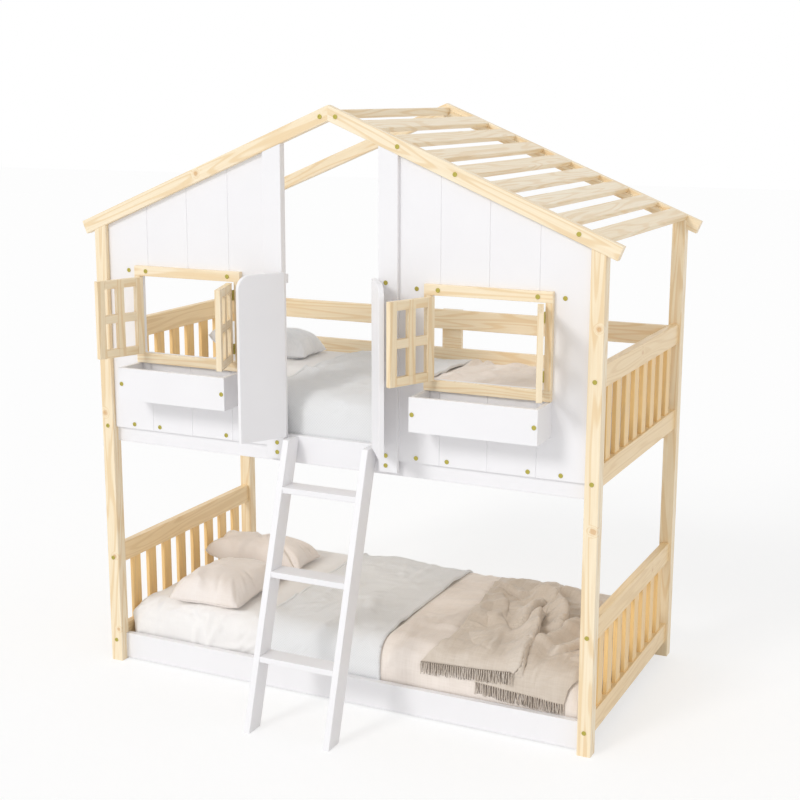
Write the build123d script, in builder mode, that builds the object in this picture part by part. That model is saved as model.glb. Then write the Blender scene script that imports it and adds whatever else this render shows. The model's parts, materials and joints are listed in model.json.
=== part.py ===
"""House bunk bed with a plank front, two doors, four window leaves, a ladder and bedding.

Millimetres. +X runs along the bed, +Y from its front to its back, +Z up. The origin is on the
floor, half way along the bed and half way from the ladder's feet to the bolt heads at the back.
"""
import os
from math import cos, radians, sin, tan

from build123d import *

os.makedirs("parts", exist_ok=True)

# Overall sizes
bed_length = 2000.0
bed_depth = 1045.0
roof_height = 2187.5
ladder_reach = 349.0

# Posts
post_width = 50.0
post_depth = 48.0

# Rounding on timber edges, and the gap that two boards of one group keep
edge_round = 2.5
small_round = 1.5
board_gap = 0.2

# Roof
roof_pitch = 22.4
rafter_width = 50.0
rafter_thickness = 30.0
eave_overhang = 55.0
roof_slat_count = 8
roof_slat_width = 70.0
roof_slat_thickness = 18.0
eave_to_slat = 55.0
ridge_to_slat = 130.6
roof_ledger_size = 20.0
ridge_batten_size = 31.0
ridge_drop = 16.5

# Side rails, slat ledgers and bed slats
rail_height = 103.0
rail_thickness = 25.0
rail_inset = 33.0
lower_rail_z = 5.0
upper_headroom = 1181.5
ledger_size = 25.0
ledger_lift = 20.0
bed_slat_count = 13
bed_slat_width = 70.0
bed_slat_thickness = 18.0
bed_slat_clearance = 2.0
bed_slat_margin = 60.0

# End panels
panel_height = 415.0
panel_rail_height = 77.0
panel_rail_thickness = 30.0
panel_inset = 10.0
lower_panel_lift = 58.0
upper_panel_lift = 40.0
panel_slat_count = 8
panel_slat_width = 52.0
panel_slat_thickness = 16.0
panel_slat_margin = 70.5

# Back guard of the upper bunk
guard_height = 80.0
guard_thickness = 20.0
guard_inset = 25.0
upper_guard_lift = 263.0
lower_guard_lift = 104.0
guard_support_width = 85.0
guard_support_thickness = 18.0
guard_support_x = 32.5

# Plank front, which laps over the upper rail
wall_lap = 44.0
wall_inset = 18.0
wall_thickness = 15.0
planks_per_side = 4
plank_chamfer = 1.8
doorway_width = 382.0
jamb_width = 74.0
jamb_thickness = 30.0
jamb_lap = 86.0
jamb_rebate = 51.0
cleat_lift = 3.5
cleat_height = 32.0
cleat_thickness = 18.0

# Windows
window_post_gap = 125.0
window_jamb_gap = 100.0
window_sill = 304.0
window_opening_height = 292.5
trim_height = 37.0
trim_width = 25.0
trim_thickness = 18.0

# Window leaves
leaf_thickness = 20.0
leaf_bar = 31.0
leaf_bar_thickness = 16.0
leaf_play = 2.5
leaf_meeting_gap = 6.0
near_leaf_angle = 110.0
right_near_leaf_angle = 113.5
far_leaf_angle = 110.0

# Doors
door_thickness = 18.0
door_lift = 2.0
door_height = 598.0
door_corner_radius = 50.0
door_meeting_gap = 2.0
left_door_angle = 119.0
right_door_angle = 124.0

# Butt hinges
hinge_gap = 3.0
hinge_plate = 1.1
hinge_plate_depth = 16.0
knuckle_radius = 3.0
knuckle_length = 38.0
knuckle_gap = 0.3
hinge_pin_radius = 1.5
pin_clearance = 0.06
leaf_hinge_inset = 45.0
door_hinge_inset = 90.0

# Flower boxes
box_depth = 138.0
box_height = 121.0
box_play = 1.0
box_board = 15.0

# Ladder
stringer_depth = 78.0
stringer_thickness = 25.0
ladder_width = 344.0
ladder_drop = 2.0
ladder_contact = 15.5
step_thickness = 22.0
step_count = 3
first_step_z = 262.0
top_step_drop = 162.0

# Bolt heads
bolt_radius = 8.0
bolt_head = 2.2
bolt_socket_radius = 3.6
bolt_socket_depth = 1.4
bolt_edge = 0.6
bottom_bolt_lift = 23.0
top_bolt_lift = 29.0
ridge_bolt_x = 30.0
rafter_bolt_insets = (686.0, 475.0, 43.0)
plank_bolt_lift = 17.0
plank_bolt_inset = 28.5
cleat_bolt_lift = 13.0
jamb_bolt_inset = 29.0
jamb_bolt_lifts = (24.0, 60.0)
trim_bolt_inset = 52.0
box_bolt_inset = 12.0

# Mattresses
mattress_end_gap = 4.0
mattress_side_gap = 14.5
mattress_thickness = 180.0
mattress_round = 50.0
mattress_corner = 60.0
mattress_swell = 6.0

# Quilts and covers over the mattresses
quilt_head_gap = 96.0
quilt_right_x = 163.0
cloth_gap = 5.0
cover_foot_gap = 15.0
cloth_play = 0.5
quilt_thickness = 12.0
quilt_crown = 10.0
quilt_fold = 6.0
cover_fold = 9.0
throw_fold = 46.0
cloth_tuck = 12.0
cloth_round = 34.0
cloth_section_count = 9
fold_wave_count = 2

# Cushions
cushion_width = 340.0
cushion_spare = 170.0
cushion_thickness = 130.0
pillow_length = 490.0
pillow_width = 240.0
pillow_thickness = 112.0
cushion_edge = 8.0
cushion_play = 0.3
front_cushion_head_gap = 149.0
front_cushion_overhang = 15.4
front_cushion_turn = 93.5
back_cushion_head_gap = 1.0
back_cushion_margin = 168.5
back_cushion_turn = 1.5
upper_cushion_head_gap = 1.0
upper_cushion_margin = 98.5
upper_cushion_turn = 2.0

# Places worked out from the sizes above
right_x = bed_length / 2
front_y = (ladder_reach - bed_depth - bolt_head) / 2
back_y = front_y + bed_depth
inner_x = right_x - post_width
slope = tan(radians(roof_pitch))
along_x = cos(radians(roof_pitch))
along_z = sin(radians(roof_pitch))
rafter_drop = rafter_width / along_x
slat_drop = roof_slat_thickness / along_x
rail_front_y = front_y + rail_inset
rail_back_y = back_y - rail_inset
wall_y = front_y + wall_inset
wall_back_y = wall_y + wall_thickness
doorway_x = doorway_width / 2
rail_inner_front_y = rail_front_y + rail_thickness
rail_inner_back_y = rail_back_y - rail_thickness
mattress_length = 2 * inner_x - 2 * mattress_end_gap
mattress_width = rail_inner_back_y - rail_inner_front_y - 2 * mattress_side_gap
cushion_length = mattress_width - pillow_width - cushion_spare
upper_rail_top = roof_height - upper_headroom
upper_rail_z = upper_rail_top - rail_height
lower_panel_z = lower_rail_z + lower_panel_lift
upper_panel_z = upper_rail_z + upper_panel_lift
lower_guard_z = upper_rail_top + lower_guard_lift
upper_guard_z = upper_rail_top + upper_guard_lift
wall_z = upper_rail_top - wall_lap
jamb_z = upper_rail_top - jamb_lap
window_opening_z = wall_z + window_sill
window_top_z = window_opening_z + window_opening_height
cleat_z = window_top_z + cleat_lift
box_z = window_opening_z - trim_height - box_play - box_height
door_z = upper_rail_top + door_lift
jamb_outer_x = doorway_x + jamb_width
plank_width = (inner_x - doorway_x - jamb_rebate) / planks_per_side
window_far_x = inner_x - window_post_gap
window_near_x = jamb_outer_x + window_jamb_gap
window_centre_x = (window_near_x + window_far_x) / 2
trim_length = window_far_x - window_near_x
window_opening_width = trim_length - 2 * trim_width


def roof_top(x):
    """height of the rafters' top edge at a distance x from the ridge"""
    return roof_height - slope * abs(x)


def rafter_underside(x):
    """height of the rafters' lower edge at a distance x from the ridge"""
    return roof_top(x) - rafter_drop


def save(piece, name):
    """label a finished piece and write it under its own name"""
    piece.part.label = name
    export_step(piece.part, f"parts/{name}.step")


# Posts, notched on their outer faces for the rafters
for face, face_name in ((-1, "front"), (1, "back")):
    for side, side_name in ((-1, "left"), (1, "right")):
        outer_x = side * right_x
        post_x = side * (right_x - post_width / 2)
        post_y = front_y + post_depth / 2 if face < 0 else back_y - post_depth / 2
        notch_y = front_y + rafter_thickness / 2 if face < 0 else back_y - rafter_thickness / 2
        with BuildPart() as post:
            with BuildSketch(Plane.XY):
                with Locations((post_x, post_y)):
                    Rectangle(post_width, post_depth)
            extrude(amount=roof_height)
            fillet(post.edges().filter_by(Axis.Z), radius=edge_round)
            with BuildSketch(Plane.XZ.offset(-back_y)):
                Polygon(
                    (outer_x, roof_height),
                    (outer_x, roof_top(outer_x) - slat_drop),
                    (side * inner_x, roof_top(inner_x) - slat_drop),
                    (side * inner_x, roof_height),
                    align=None,
                )
            extrude(amount=bed_depth, mode=Mode.SUBTRACT)
            with BuildSketch(Plane.XZ.offset(-notch_y - rafter_thickness / 2)):
                Polygon(
                    (outer_x, roof_height),
                    (outer_x, rafter_underside(outer_x)),
                    (side * inner_x, rafter_underside(inner_x)),
                    (side * inner_x, roof_height),
                    align=None,
                )
            extrude(amount=rafter_thickness, mode=Mode.SUBTRACT)
        save(post, f"post_{face_name}_{side_name}")

# Rafters, which meet in a plumb joint at the ridge and have square-cut tails
tail_x = right_x + eave_overhang
tail_z = roof_top(tail_x)
roof_slat_run = tail_x / along_x - eave_to_slat - ridge_to_slat - roof_slat_width
roof_slat_pitch = roof_slat_run / (roof_slat_count - 1)
for face, face_name in ((-1, "front"), (1, "back")):
    rafter_far_y = front_y + rafter_thickness if face < 0 else back_y
    for side, side_name in ((-1, "left"), (1, "right")):
        with BuildPart() as rafter:
            with BuildSketch(Plane.XZ.offset(-rafter_far_y)):
                Polygon(
                    (0, roof_height),
                    (side * tail_x, tail_z),
                    (side * (tail_x - rafter_width * along_z), tail_z - rafter_width * along_x),
                    (0, rafter_underside(0)),
                    align=None,
                )
            extrude(amount=rafter_thickness)
            slope_axis = Axis((0, 0, 0), (side * along_x, 0, -along_z))
            fillet(rafter.edges().filter_by(slope_axis), radius=edge_round)
        save(rafter, f"rafter_{face_name}_{side_name}")

# Ridge batten between the two pairs of rafters
roof_inner_front_y = front_y + rafter_thickness
roof_inner_back_y = back_y - rafter_thickness
roof_inner_depth = roof_inner_back_y - roof_inner_front_y
with BuildPart() as ridge_batten:
    with BuildSketch(Plane.XZ.offset(-roof_inner_back_y)):
        with Locations((0, roof_height - ridge_drop - ridge_batten_size / 2)):
            Rectangle(ridge_batten_size, ridge_batten_size)
    extrude(amount=roof_inner_depth)
    fillet(ridge_batten.edges().filter_by(Axis.Y), radius=edge_round)
save(ridge_batten, "ridge_batten")

# Roof slats on the right slope, flush with the rafters' tops
with BuildPart() as roof_slats:
    with BuildSketch(Plane.XZ.offset(-roof_inner_back_y)):
        for i in range(roof_slat_count):
            from_tail = eave_to_slat + roof_slat_width / 2 + i * roof_slat_pitch
            slat_x = tail_x - from_tail * along_x - roof_slat_thickness / 2 * along_z
            slat_z = tail_z + from_tail * along_z - roof_slat_thickness / 2 * along_x
            with Locations((slat_x, slat_z)):
                Rectangle(roof_slat_width, roof_slat_thickness, rotation=-roof_pitch)
    extrude(amount=roof_inner_depth)
    fillet(roof_slats.edges().filter_by(Axis.Y), radius=edge_round)
save(roof_slats, "roof_slats")

# Ledgers on the rafters' inner faces, under the roof slats, from the ridge batten to the posts
ledger_start = (ridge_batten_size / 2 + board_gap) / along_x + roof_ledger_size
ledger_end = inner_x / along_x - roof_ledger_size
ledger_mid = (ledger_start + ledger_end) / 2
ledger_sink = roof_slat_thickness + roof_ledger_size / 2
ledger_x = ledger_mid * along_x - ledger_sink * along_z
ledger_z = roof_height - ledger_mid * along_z - ledger_sink * along_x
with BuildPart() as roof_slat_ledgers:
    for ledger_far_y in (roof_inner_front_y + roof_ledger_size, roof_inner_back_y):
        with BuildSketch(Plane.XZ.offset(-ledger_far_y)):
            with Locations((ledger_x, ledger_z)):
                Rectangle(ledger_end - ledger_start, roof_ledger_size, rotation=-roof_pitch)
        extrude(amount=roof_ledger_size)
save(roof_slat_ledgers, "roof_slat_ledgers")

# Side rails of both bunks, between the posts
for face, face_name in ((-1, "front"), (1, "back")):
    rail_y = rail_front_y + rail_thickness / 2 if face < 0 else rail_back_y - rail_thickness / 2
    for rail_z, level_name in ((lower_rail_z, "lower"), (upper_rail_z, "upper")):
        with BuildPart() as bed_rail:
            with BuildSketch(Plane.XY.offset(rail_z)):
                with Locations((0, rail_y)):
                    Rectangle(2 * inner_x, rail_thickness)
            extrude(amount=rail_height)
            fillet(bed_rail.edges().filter_by(Axis.X), radius=edge_round)
        save(bed_rail, f"{level_name}_{face_name}_rail")

# Ledgers inside the side rails, which carry the bed slats
with BuildPart() as bed_slat_ledgers:
    for rail_z in (lower_rail_z, upper_rail_z):
        for ledger_y in (rail_inner_front_y + ledger_size / 2, rail_inner_back_y - ledger_size / 2):
            with BuildSketch(Plane.XY.offset(rail_z + ledger_lift)):
                with Locations((0, ledger_y)):
                    Rectangle(2 * inner_x - 2 * bed_slat_clearance, ledger_size)
            extrude(amount=ledger_size)
save(bed_slat_ledgers, "bed_slat_ledgers")

# Bed slats
bed_slat_length = rail_inner_back_y - rail_inner_front_y - 2 * bed_slat_clearance
bed_slat_middle_y = (rail_inner_front_y + rail_inner_back_y) / 2
bed_slat_run = 2 * inner_x - 2 * bed_slat_margin - bed_slat_width
bed_slat_pitch = bed_slat_run / (bed_slat_count - 1)
for rail_z, level_name in ((lower_rail_z, "lower"), (upper_rail_z, "upper")):
    with BuildPart() as bed_slats:
        with BuildSketch(Plane.XY.offset(rail_z + ledger_lift + ledger_size)):
            with Locations((0, bed_slat_middle_y)):
                with GridLocations(bed_slat_pitch, 0, bed_slat_count, 1):
                    Rectangle(bed_slat_width, bed_slat_length)
        extrude(amount=bed_slat_thickness)
        fillet(bed_slats.edges().filter_by(Axis.Y), radius=edge_round)
    save(bed_slats, f"{level_name}_bed_slats")

# End panels: two rails and a row of upright slats between the posts of each end
panel_y = (front_y + back_y) / 2
panel_length = bed_depth - 2 * post_depth
panel_slat_pitch = (panel_length - 2 * panel_slat_margin - panel_slat_width) / (panel_slat_count - 1)
for side, side_name in ((-1, "left"), (1, "right")):
    panel_x = side * (right_x - panel_inset - panel_rail_thickness / 2)
    for panel_z, level_name in ((lower_panel_z, "lower"), (upper_panel_z, "upper")):
        top_rail_z = panel_z + panel_height - panel_rail_height
        with BuildPart() as panel_rails:
            for rail_z in (panel_z, top_rail_z):
                with BuildSketch(Plane.XY.offset(rail_z)):
                    with Locations((panel_x, panel_y)):
                        Rectangle(panel_rail_thickness, panel_length)
                extrude(amount=panel_rail_height)
            fillet(panel_rails.edges().filter_by(Axis.Y), radius=edge_round)
        save(panel_rails, f"{level_name}_{side_name}_panel_rails")
        with BuildPart() as panel_slats:
            with BuildSketch(Plane.XY.offset(panel_z + panel_rail_height)):
                with Locations((panel_x, panel_y)):
                    with GridLocations(0, panel_slat_pitch, 1, panel_slat_count):
                        Rectangle(panel_slat_thickness, panel_slat_width)
            extrude(amount=panel_height - 2 * panel_rail_height)
            fillet(panel_slats.edges().filter_by(Axis.Z), radius=edge_round)
        save(panel_slats, f"{level_name}_{side_name}_panel_slats")

# Guard rails behind the upper bunk, with the short upright that joins them
guard_back_y = back_y - guard_inset
with BuildPart() as back_guard_rails:
    for guard_z in (lower_guard_z, upper_guard_z):
        with BuildSketch(Plane.XY.offset(guard_z)):
            with Locations((0, guard_back_y - guard_thickness / 2)):
                Rectangle(2 * inner_x, guard_thickness)
        extrude(amount=guard_height)
    fillet(back_guard_rails.edges().filter_by(Axis.X), radius=edge_round)
    with BuildSketch(Plane.XY.offset(lower_guard_z)):
        with Locations((guard_support_x, guard_back_y + board_gap + guard_support_thickness / 2)):
            Rectangle(guard_support_width, guard_support_thickness)
    extrude(amount=upper_guard_z + guard_height - lower_guard_z)
save(back_guard_rails, "back_guard_rails")

# Planks of the front wall, cut to the slope of the rafters and round the windows
for side, side_name in ((-1, "left"), (1, "right")):
    with BuildPart() as wall_planks:
        with BuildSketch(Plane.XZ.offset(-wall_back_y)):
            for i in range(planks_per_side):
                near_x = inner_x - i * plank_width
                far_x = near_x - plank_width + board_gap
                Polygon(
                    (side * near_x, wall_z),
                    (side * near_x, rafter_underside(near_x)),
                    (side * far_x, rafter_underside(far_x)),
                    (side * far_x, wall_z),
                    align=None,
                )
            opening_middle_z = window_opening_z + window_opening_height / 2
            with Locations((side * window_centre_x, opening_middle_z)):
                Rectangle(window_opening_width, window_opening_height, mode=Mode.SUBTRACT)
        extrude(amount=wall_thickness)
        plank_fronts = wall_planks.edges().filter_by(Axis.Z).group_by(Axis.Y)[0]
        chamfer(plank_fronts, length=plank_chamfer)
    save(wall_planks, f"wall_planks_{side_name}")

# Door jambs, rebated over the ends of the planks
plank_end_x = inner_x - planks_per_side * plank_width + board_gap
jamb_front_y = wall_back_y - jamb_thickness
with BuildPart() as door_jambs:
    for side in (-1, 1):
        with BuildSketch(Plane.XZ.offset(-wall_y)):
            Polygon(
                (side * doorway_x, jamb_z),
                (side * doorway_x, rafter_underside(doorway_x)),
                (side * jamb_outer_x, rafter_underside(jamb_outer_x)),
                (side * jamb_outer_x, jamb_z),
                align=None,
            )
        extrude(amount=wall_y - jamb_front_y)
        with BuildSketch(Plane.XZ.offset(-wall_back_y)):
            Polygon(
                (side * doorway_x, jamb_z),
                (side * doorway_x, rafter_underside(doorway_x)),
                (side * (plank_end_x - board_gap), rafter_underside(plank_end_x - board_gap)),
                (side * (plank_end_x - board_gap), jamb_z),
                align=None,
            )
        extrude(amount=wall_thickness)
    jamb_fronts = door_jambs.edges().filter_by(Axis.Z).group_by(Axis.Y)[0]
    fillet(jamb_fronts, radius=edge_round)
save(door_jambs, "door_jambs")

# Cleats across the back of the planks, above the windows
with BuildPart() as wall_cleats:
    for side in (-1, 1):
        with BuildSketch(Plane.XY.offset(cleat_z)):
            with Locations((side * (inner_x + doorway_x) / 2, wall_back_y + cleat_thickness / 2)):
                Rectangle(inner_x - doorway_x, cleat_thickness)
        extrude(amount=cleat_height)
    fillet(wall_cleats.edges().filter_by(Axis.X), radius=small_round)
save(wall_cleats, "wall_cleats")

# Window frames: two cross trims with two stiles between them
stile_x = window_opening_width / 2 + trim_width / 2
for side, side_name in ((-1, "left"), (1, "right")):
    frame_x = side * window_centre_x
    with BuildPart() as window_frame:
        with BuildSketch(Plane.XZ.offset(-wall_y)):
            with Locations((frame_x, window_top_z + trim_height / 2)):
                Rectangle(trim_length, trim_height)
            with Locations((frame_x, window_opening_z - trim_height / 2)):
                Rectangle(trim_length, trim_height)
            with Locations(
                (frame_x - stile_x, opening_middle_z), (frame_x + stile_x, opening_middle_z)
            ):
                Rectangle(trim_width, window_opening_height - 2 * board_gap)
        extrude(amount=trim_thickness)
        frame_fronts = window_frame.edges().group_by(Axis.Y)[0]
        fillet(frame_fronts, radius=small_round)
    save(window_frame, f"window_frame_{side_name}")

# Flower boxes: a front board over two end boards, and a bottom between them
box_front_y = wall_y - box_depth
box_end_length = box_depth - box_board - board_gap
box_end_y = wall_y - box_end_length / 2
for side, side_name in ((-1, "left"), (1, "right")):
    box_x = side * window_centre_x
    box_end_x = trim_length / 2 - box_board / 2
    with BuildPart() as flower_box:
        with BuildSketch(Plane.XY.offset(box_z)):
            with Locations((box_x, box_front_y + box_board / 2)):
                Rectangle(trim_length, box_board)
            with Locations((box_x - box_end_x, box_end_y), (box_x + box_end_x, box_end_y)):
                Rectangle(box_board, box_end_length)
        extrude(amount=box_height)
        fillet(flower_box.edges().group_by(Axis.Z)[-1], radius=small_round)
        with BuildSketch(Plane.XY.offset(box_z)):
            with Locations((box_x, box_end_y)):
                Rectangle(trim_length - 2 * box_board - 2 * board_gap, box_end_length)
        extrude(amount=box_board)
    save(flower_box, f"flower_box_{side_name}")


def leaf_plane(pin_x, pin_y, hand, angle, height):
    """level plane at a hinge pin, with x from the pin along the open leaf and y away from its front

    hand is 1 for a leaf hung at its left and -1 for one hung at its right. Its y axis is
    turned over by hand, so a leaf lies at hand * (knuckle_radius to knuckle_radius + thickness).
    """
    turn = radians(angle)
    along = (hand * cos(turn), -sin(turn), 0)
    return Plane(origin=(pin_x, pin_y, height), x_dir=along, z_dir=(0, 0, 1))


def face_plane(pin_x, pin_y, hand, angle):
    """upright plane through a hinge pin, with x from the pin along the open leaf and y up

    Its normal points away from a leaf hung at its left, and into one hung at its right.
    """
    turn = radians(angle)
    along = (hand * cos(turn), -sin(turn), 0)
    normal = (-sin(turn), -hand * cos(turn), 0)
    return Plane(origin=(pin_x, pin_y, 0), x_dir=along, z_dir=normal)


# Every leaf: its name, pin, hand, open angle, thickness and the heights of its hinges
leaf_width = (window_opening_width - 2 * hinge_gap - leaf_meeting_gap) / 2
leaf_z = window_opening_z + leaf_play
leaf_height = window_opening_height - 2 * leaf_play
door_width = (doorway_width - 2 * hinge_gap - door_meeting_gap) / 2
leaf_pin_y = front_y + wall_inset - trim_thickness - knuckle_radius
door_pin_y = jamb_front_y - knuckle_radius
leaf_pin_offset = window_opening_width / 2 - hinge_gap / 2
door_pin_x = doorway_x - hinge_gap / 2
leaf_hinges_z = (leaf_z + leaf_hinge_inset, leaf_z + leaf_height - leaf_hinge_inset)
door_hinges_z = (door_z + door_hinge_inset, door_z + door_height - door_hinge_inset)
window_leaves = (
    ("left_window_left_leaf", -window_centre_x - leaf_pin_offset, 1, near_leaf_angle),
    ("left_window_right_leaf", -window_centre_x + leaf_pin_offset, -1, far_leaf_angle),
    ("right_window_left_leaf", window_centre_x - leaf_pin_offset, 1, right_near_leaf_angle),
    ("right_window_right_leaf", window_centre_x + leaf_pin_offset, -1, far_leaf_angle),
)
doors = (
    ("left_door", -door_pin_x, 1, left_door_angle),
    ("right_door", door_pin_x, -1, right_door_angle),
)

# Window leaves: two stiles, two rails and a cross of thinner bars, with open panes
for name, pin_x, hand, angle in window_leaves:
    leaf_face = face_plane(pin_x, leaf_pin_y, hand, angle)
    leaf_middle = -hand * (knuckle_radius + leaf_thickness / 2)
    frame_start = leaf_face.offset(leaf_middle - leaf_thickness / 2)
    bar_start = leaf_face.offset(leaf_middle - leaf_bar_thickness / 2)
    leaf_x = hinge_gap / 2 + leaf_width / 2
    leaf_middle_z = leaf_z + leaf_height / 2
    stile_shift = leaf_width / 2 - leaf_bar / 2
    rail_shift = leaf_height / 2 - leaf_bar / 2
    rail_length = leaf_width - 2 * leaf_bar - 2 * board_gap
    with BuildPart() as window_leaf:
        with BuildSketch(frame_start):
            with Locations((leaf_x - stile_shift, leaf_middle_z), (leaf_x + stile_shift, leaf_middle_z)):
                Rectangle(leaf_bar, leaf_height)
            with Locations((leaf_x, leaf_middle_z - rail_shift), (leaf_x, leaf_middle_z + rail_shift)):
                Rectangle(rail_length, leaf_bar)
        extrude(amount=leaf_thickness)
        fillet(window_leaf.edges().filter_by(Axis.Z), radius=small_round)
        with BuildSketch(bar_start):
            with Locations((leaf_x, leaf_middle_z)):
                Rectangle(leaf_bar, leaf_height - 2 * leaf_bar - 2 * board_gap)
            arm = (rail_length - leaf_bar) / 2 - board_gap
            arm_shift = leaf_bar / 2 + board_gap + arm / 2
            with Locations((leaf_x - arm_shift, leaf_middle_z), (leaf_x + arm_shift, leaf_middle_z)):
                Rectangle(arm, leaf_bar)
        extrude(amount=leaf_bar_thickness)
    save(window_leaf, name)

# Doors, with the free top corner rounded
for name, pin_x, hand, angle in doors:
    door_face = face_plane(pin_x, door_pin_y, hand, angle)
    door_start = -hand * (knuckle_radius + door_thickness / 2) - door_thickness / 2
    with BuildPart() as door:
        with BuildSketch(door_face.offset(door_start)) as door_outline:
            with Locations((hinge_gap / 2 + door_width / 2, door_z + door_height / 2)):
                Rectangle(door_width, door_height)
            free_top = door_outline.vertices().group_by(Axis.Y)[-1].sort_by(Axis.X)[-1]
            fillet(free_top, radius=door_corner_radius)
        extrude(amount=door_thickness)
        fillet(door.faces().filter_by(door_face).edges(), radius=small_round)
    save(door, name)

# Butt hinges: a fixed half with the pin and two knuckles, and a moving half with one between them
all_leaves = tuple((leaf, leaf_pin_y, leaf_hinges_z) for leaf in window_leaves)
all_leaves += tuple((leaf, door_pin_y, door_hinges_z) for leaf in doors)
third = knuckle_length / 3
knuckle_clear = knuckle_radius + knuckle_gap
plate_x = hinge_gap / 2 - hinge_plate / 2
with BuildPart() as hinge_fixed_halves:
    for (name, pin_x, hand, angle), pin_y, heights in all_leaves:
        for height in heights:
            base = leaf_plane(pin_x, pin_y, hand, 0, height - knuckle_length / 2)
            with BuildSketch(base):
                with Locations((-plate_x, hand * hinge_plate_depth / 2)):
                    Rectangle(hinge_plate, hinge_plate_depth)
            extrude(amount=knuckle_length)
            with BuildSketch(base.offset(third)):
                Circle(knuckle_clear)
            extrude(amount=third, mode=Mode.SUBTRACT)
            with BuildSketch(base, base.offset(2 * third + knuckle_gap)):
                Circle(knuckle_radius)
            extrude(amount=third - knuckle_gap)
            with BuildSketch(base):
                Circle(hinge_pin_radius)
            extrude(amount=knuckle_length)
save(hinge_fixed_halves, "hinge_fixed_halves")

for (name, pin_x, hand, angle), pin_y, heights in all_leaves:
    with BuildPart() as hinge_half:
        for height in heights:
            base = leaf_plane(pin_x, pin_y, hand, angle, height - knuckle_length / 2)
            with BuildSketch(base):
                with Locations((plate_x, hand * hinge_plate_depth / 2)):
                    Rectangle(hinge_plate, hinge_plate_depth)
            extrude(amount=knuckle_length)
            with BuildSketch(base, base.offset(2 * third)):
                Circle(knuckle_clear)
            extrude(amount=third, mode=Mode.SUBTRACT)
            with BuildSketch(base.offset(third + knuckle_gap / 2)):
                Circle(knuckle_radius)
            extrude(amount=third - knuckle_gap)
            with BuildSketch(base):
                Circle(hinge_pin_radius + pin_clearance)
            extrude(amount=knuckle_length, mode=Mode.SUBTRACT)
    save(hinge_half, f"{name}_hinge_halves")

# Ladder: two leaning stringers with a plumb cut against the upper rail, and level steps
ladder_top_z = upper_rail_top - ladder_drop
step_rise = (ladder_top_z - top_step_drop - first_step_z) / (step_count - 1)
ladder_foot_y = front_y - ladder_reach
ladder_run = rail_front_y - ladder_foot_y - stringer_depth
ladder_cut_z = ladder_top_z - ladder_contact
ladder_slope = ladder_run / ladder_cut_z
stringer_x = ladder_width / 2 - stringer_thickness
with BuildPart() as ladder_stringers:
    for stringer_left_x in (-ladder_width / 2, stringer_x):
        with BuildSketch(Plane.YZ.offset(stringer_left_x)):
            Polygon(
                (ladder_foot_y, 0),
                (ladder_foot_y + stringer_depth, 0),
                (rail_front_y, ladder_cut_z),
                (rail_front_y, ladder_top_z),
                (ladder_foot_y + ladder_slope * ladder_top_z, ladder_top_z),
                align=None,
            )
        extrude(amount=stringer_thickness)
    fillet(ladder_stringers.edges().filter_by(Axis((0, 0, 0), (0, ladder_slope, 1))), radius=edge_round)
save(ladder_stringers, "ladder_stringers")

with BuildPart() as ladder_steps:
    for i in range(step_count):
        step_z = first_step_z + i * step_rise
        step_y = ladder_foot_y + ladder_slope * step_z + stringer_depth / 2
        with BuildSketch(Plane.XY.offset(step_z - step_thickness)):
            with Locations((0, step_y)):
                Rectangle(2 * stringer_x, stringer_depth)
        extrude(amount=step_thickness)
    fillet(ladder_steps.edges().filter_by(Axis.X), radius=edge_round)
save(ladder_steps, "ladder_steps")

# Bolt heads, in rows by the face that they sit on
post_bolts_z = (
    lower_panel_z + bottom_bolt_lift,
    lower_panel_z + panel_height - panel_rail_height + top_bolt_lift,
    upper_panel_z + bottom_bolt_lift,
    upper_panel_z + panel_height - panel_rail_height + top_bolt_lift,
)
post_bolt_x = right_x - post_width / 2
post_bolts = [(side * post_bolt_x, z) for side in (-1, 1) for z in post_bolts_z]
ridge_bolts = [(side * ridge_bolt_x, roof_top(ridge_bolt_x) - rafter_drop / 2) for side in (-1, 1)]
slope_bolts_x = [inner_x - inset for inset in rafter_bolt_insets]
slope_bolts = [(x, roof_top(x) - rafter_drop / 2) for x in slope_bolts_x]
plank_bolts = []
jamb_bolts = []
trim_bolts = []
box_bolts = []
jamb_bolts_z = (jamb_z + jamb_bolt_lifts[0], jamb_z + jamb_bolt_lifts[1], cleat_z + top_bolt_lift)
for side in (-1, 1):
    outer_plank_x = inner_x - plank_width / 2
    inner_plank_x = inner_x - (planks_per_side - 1 / 2) * plank_width
    second_plank_x = inner_x - plank_width - plank_bolt_inset
    third_plank_x = inner_x - (planks_per_side - 1) * plank_width + plank_bolt_inset
    for x in (outer_plank_x, second_plank_x, third_plank_x, inner_plank_x):
        plank_bolts.append((side * x, wall_z + plank_bolt_lift))
    for x in (outer_plank_x, inner_plank_x):
        plank_bolts.append((side * x, cleat_z + cleat_bolt_lift))
    for z in jamb_bolts_z:
        jamb_bolts.append((side * (doorway_x + jamb_bolt_inset), z))
    for end in (-1, 1):
        trim_bolt_x = side * window_centre_x + end * (trim_length / 2 - trim_bolt_inset)
        trim_bolts.append((trim_bolt_x, window_top_z + trim_height / 2))
        box_bolt_x = side * window_centre_x + end * (trim_length / 2 - box_bolt_inset)
        box_bolts.append((box_bolt_x, box_z + box_height / 2))
trim_front_y = wall_y - trim_thickness
bolt_rows = (
    (front_y, post_bolts + ridge_bolts + slope_bolts),
    (wall_y, plank_bolts),
    (jamb_front_y, jamb_bolts),
    (trim_front_y, trim_bolts),
    (box_front_y, box_bolts),
)
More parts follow.
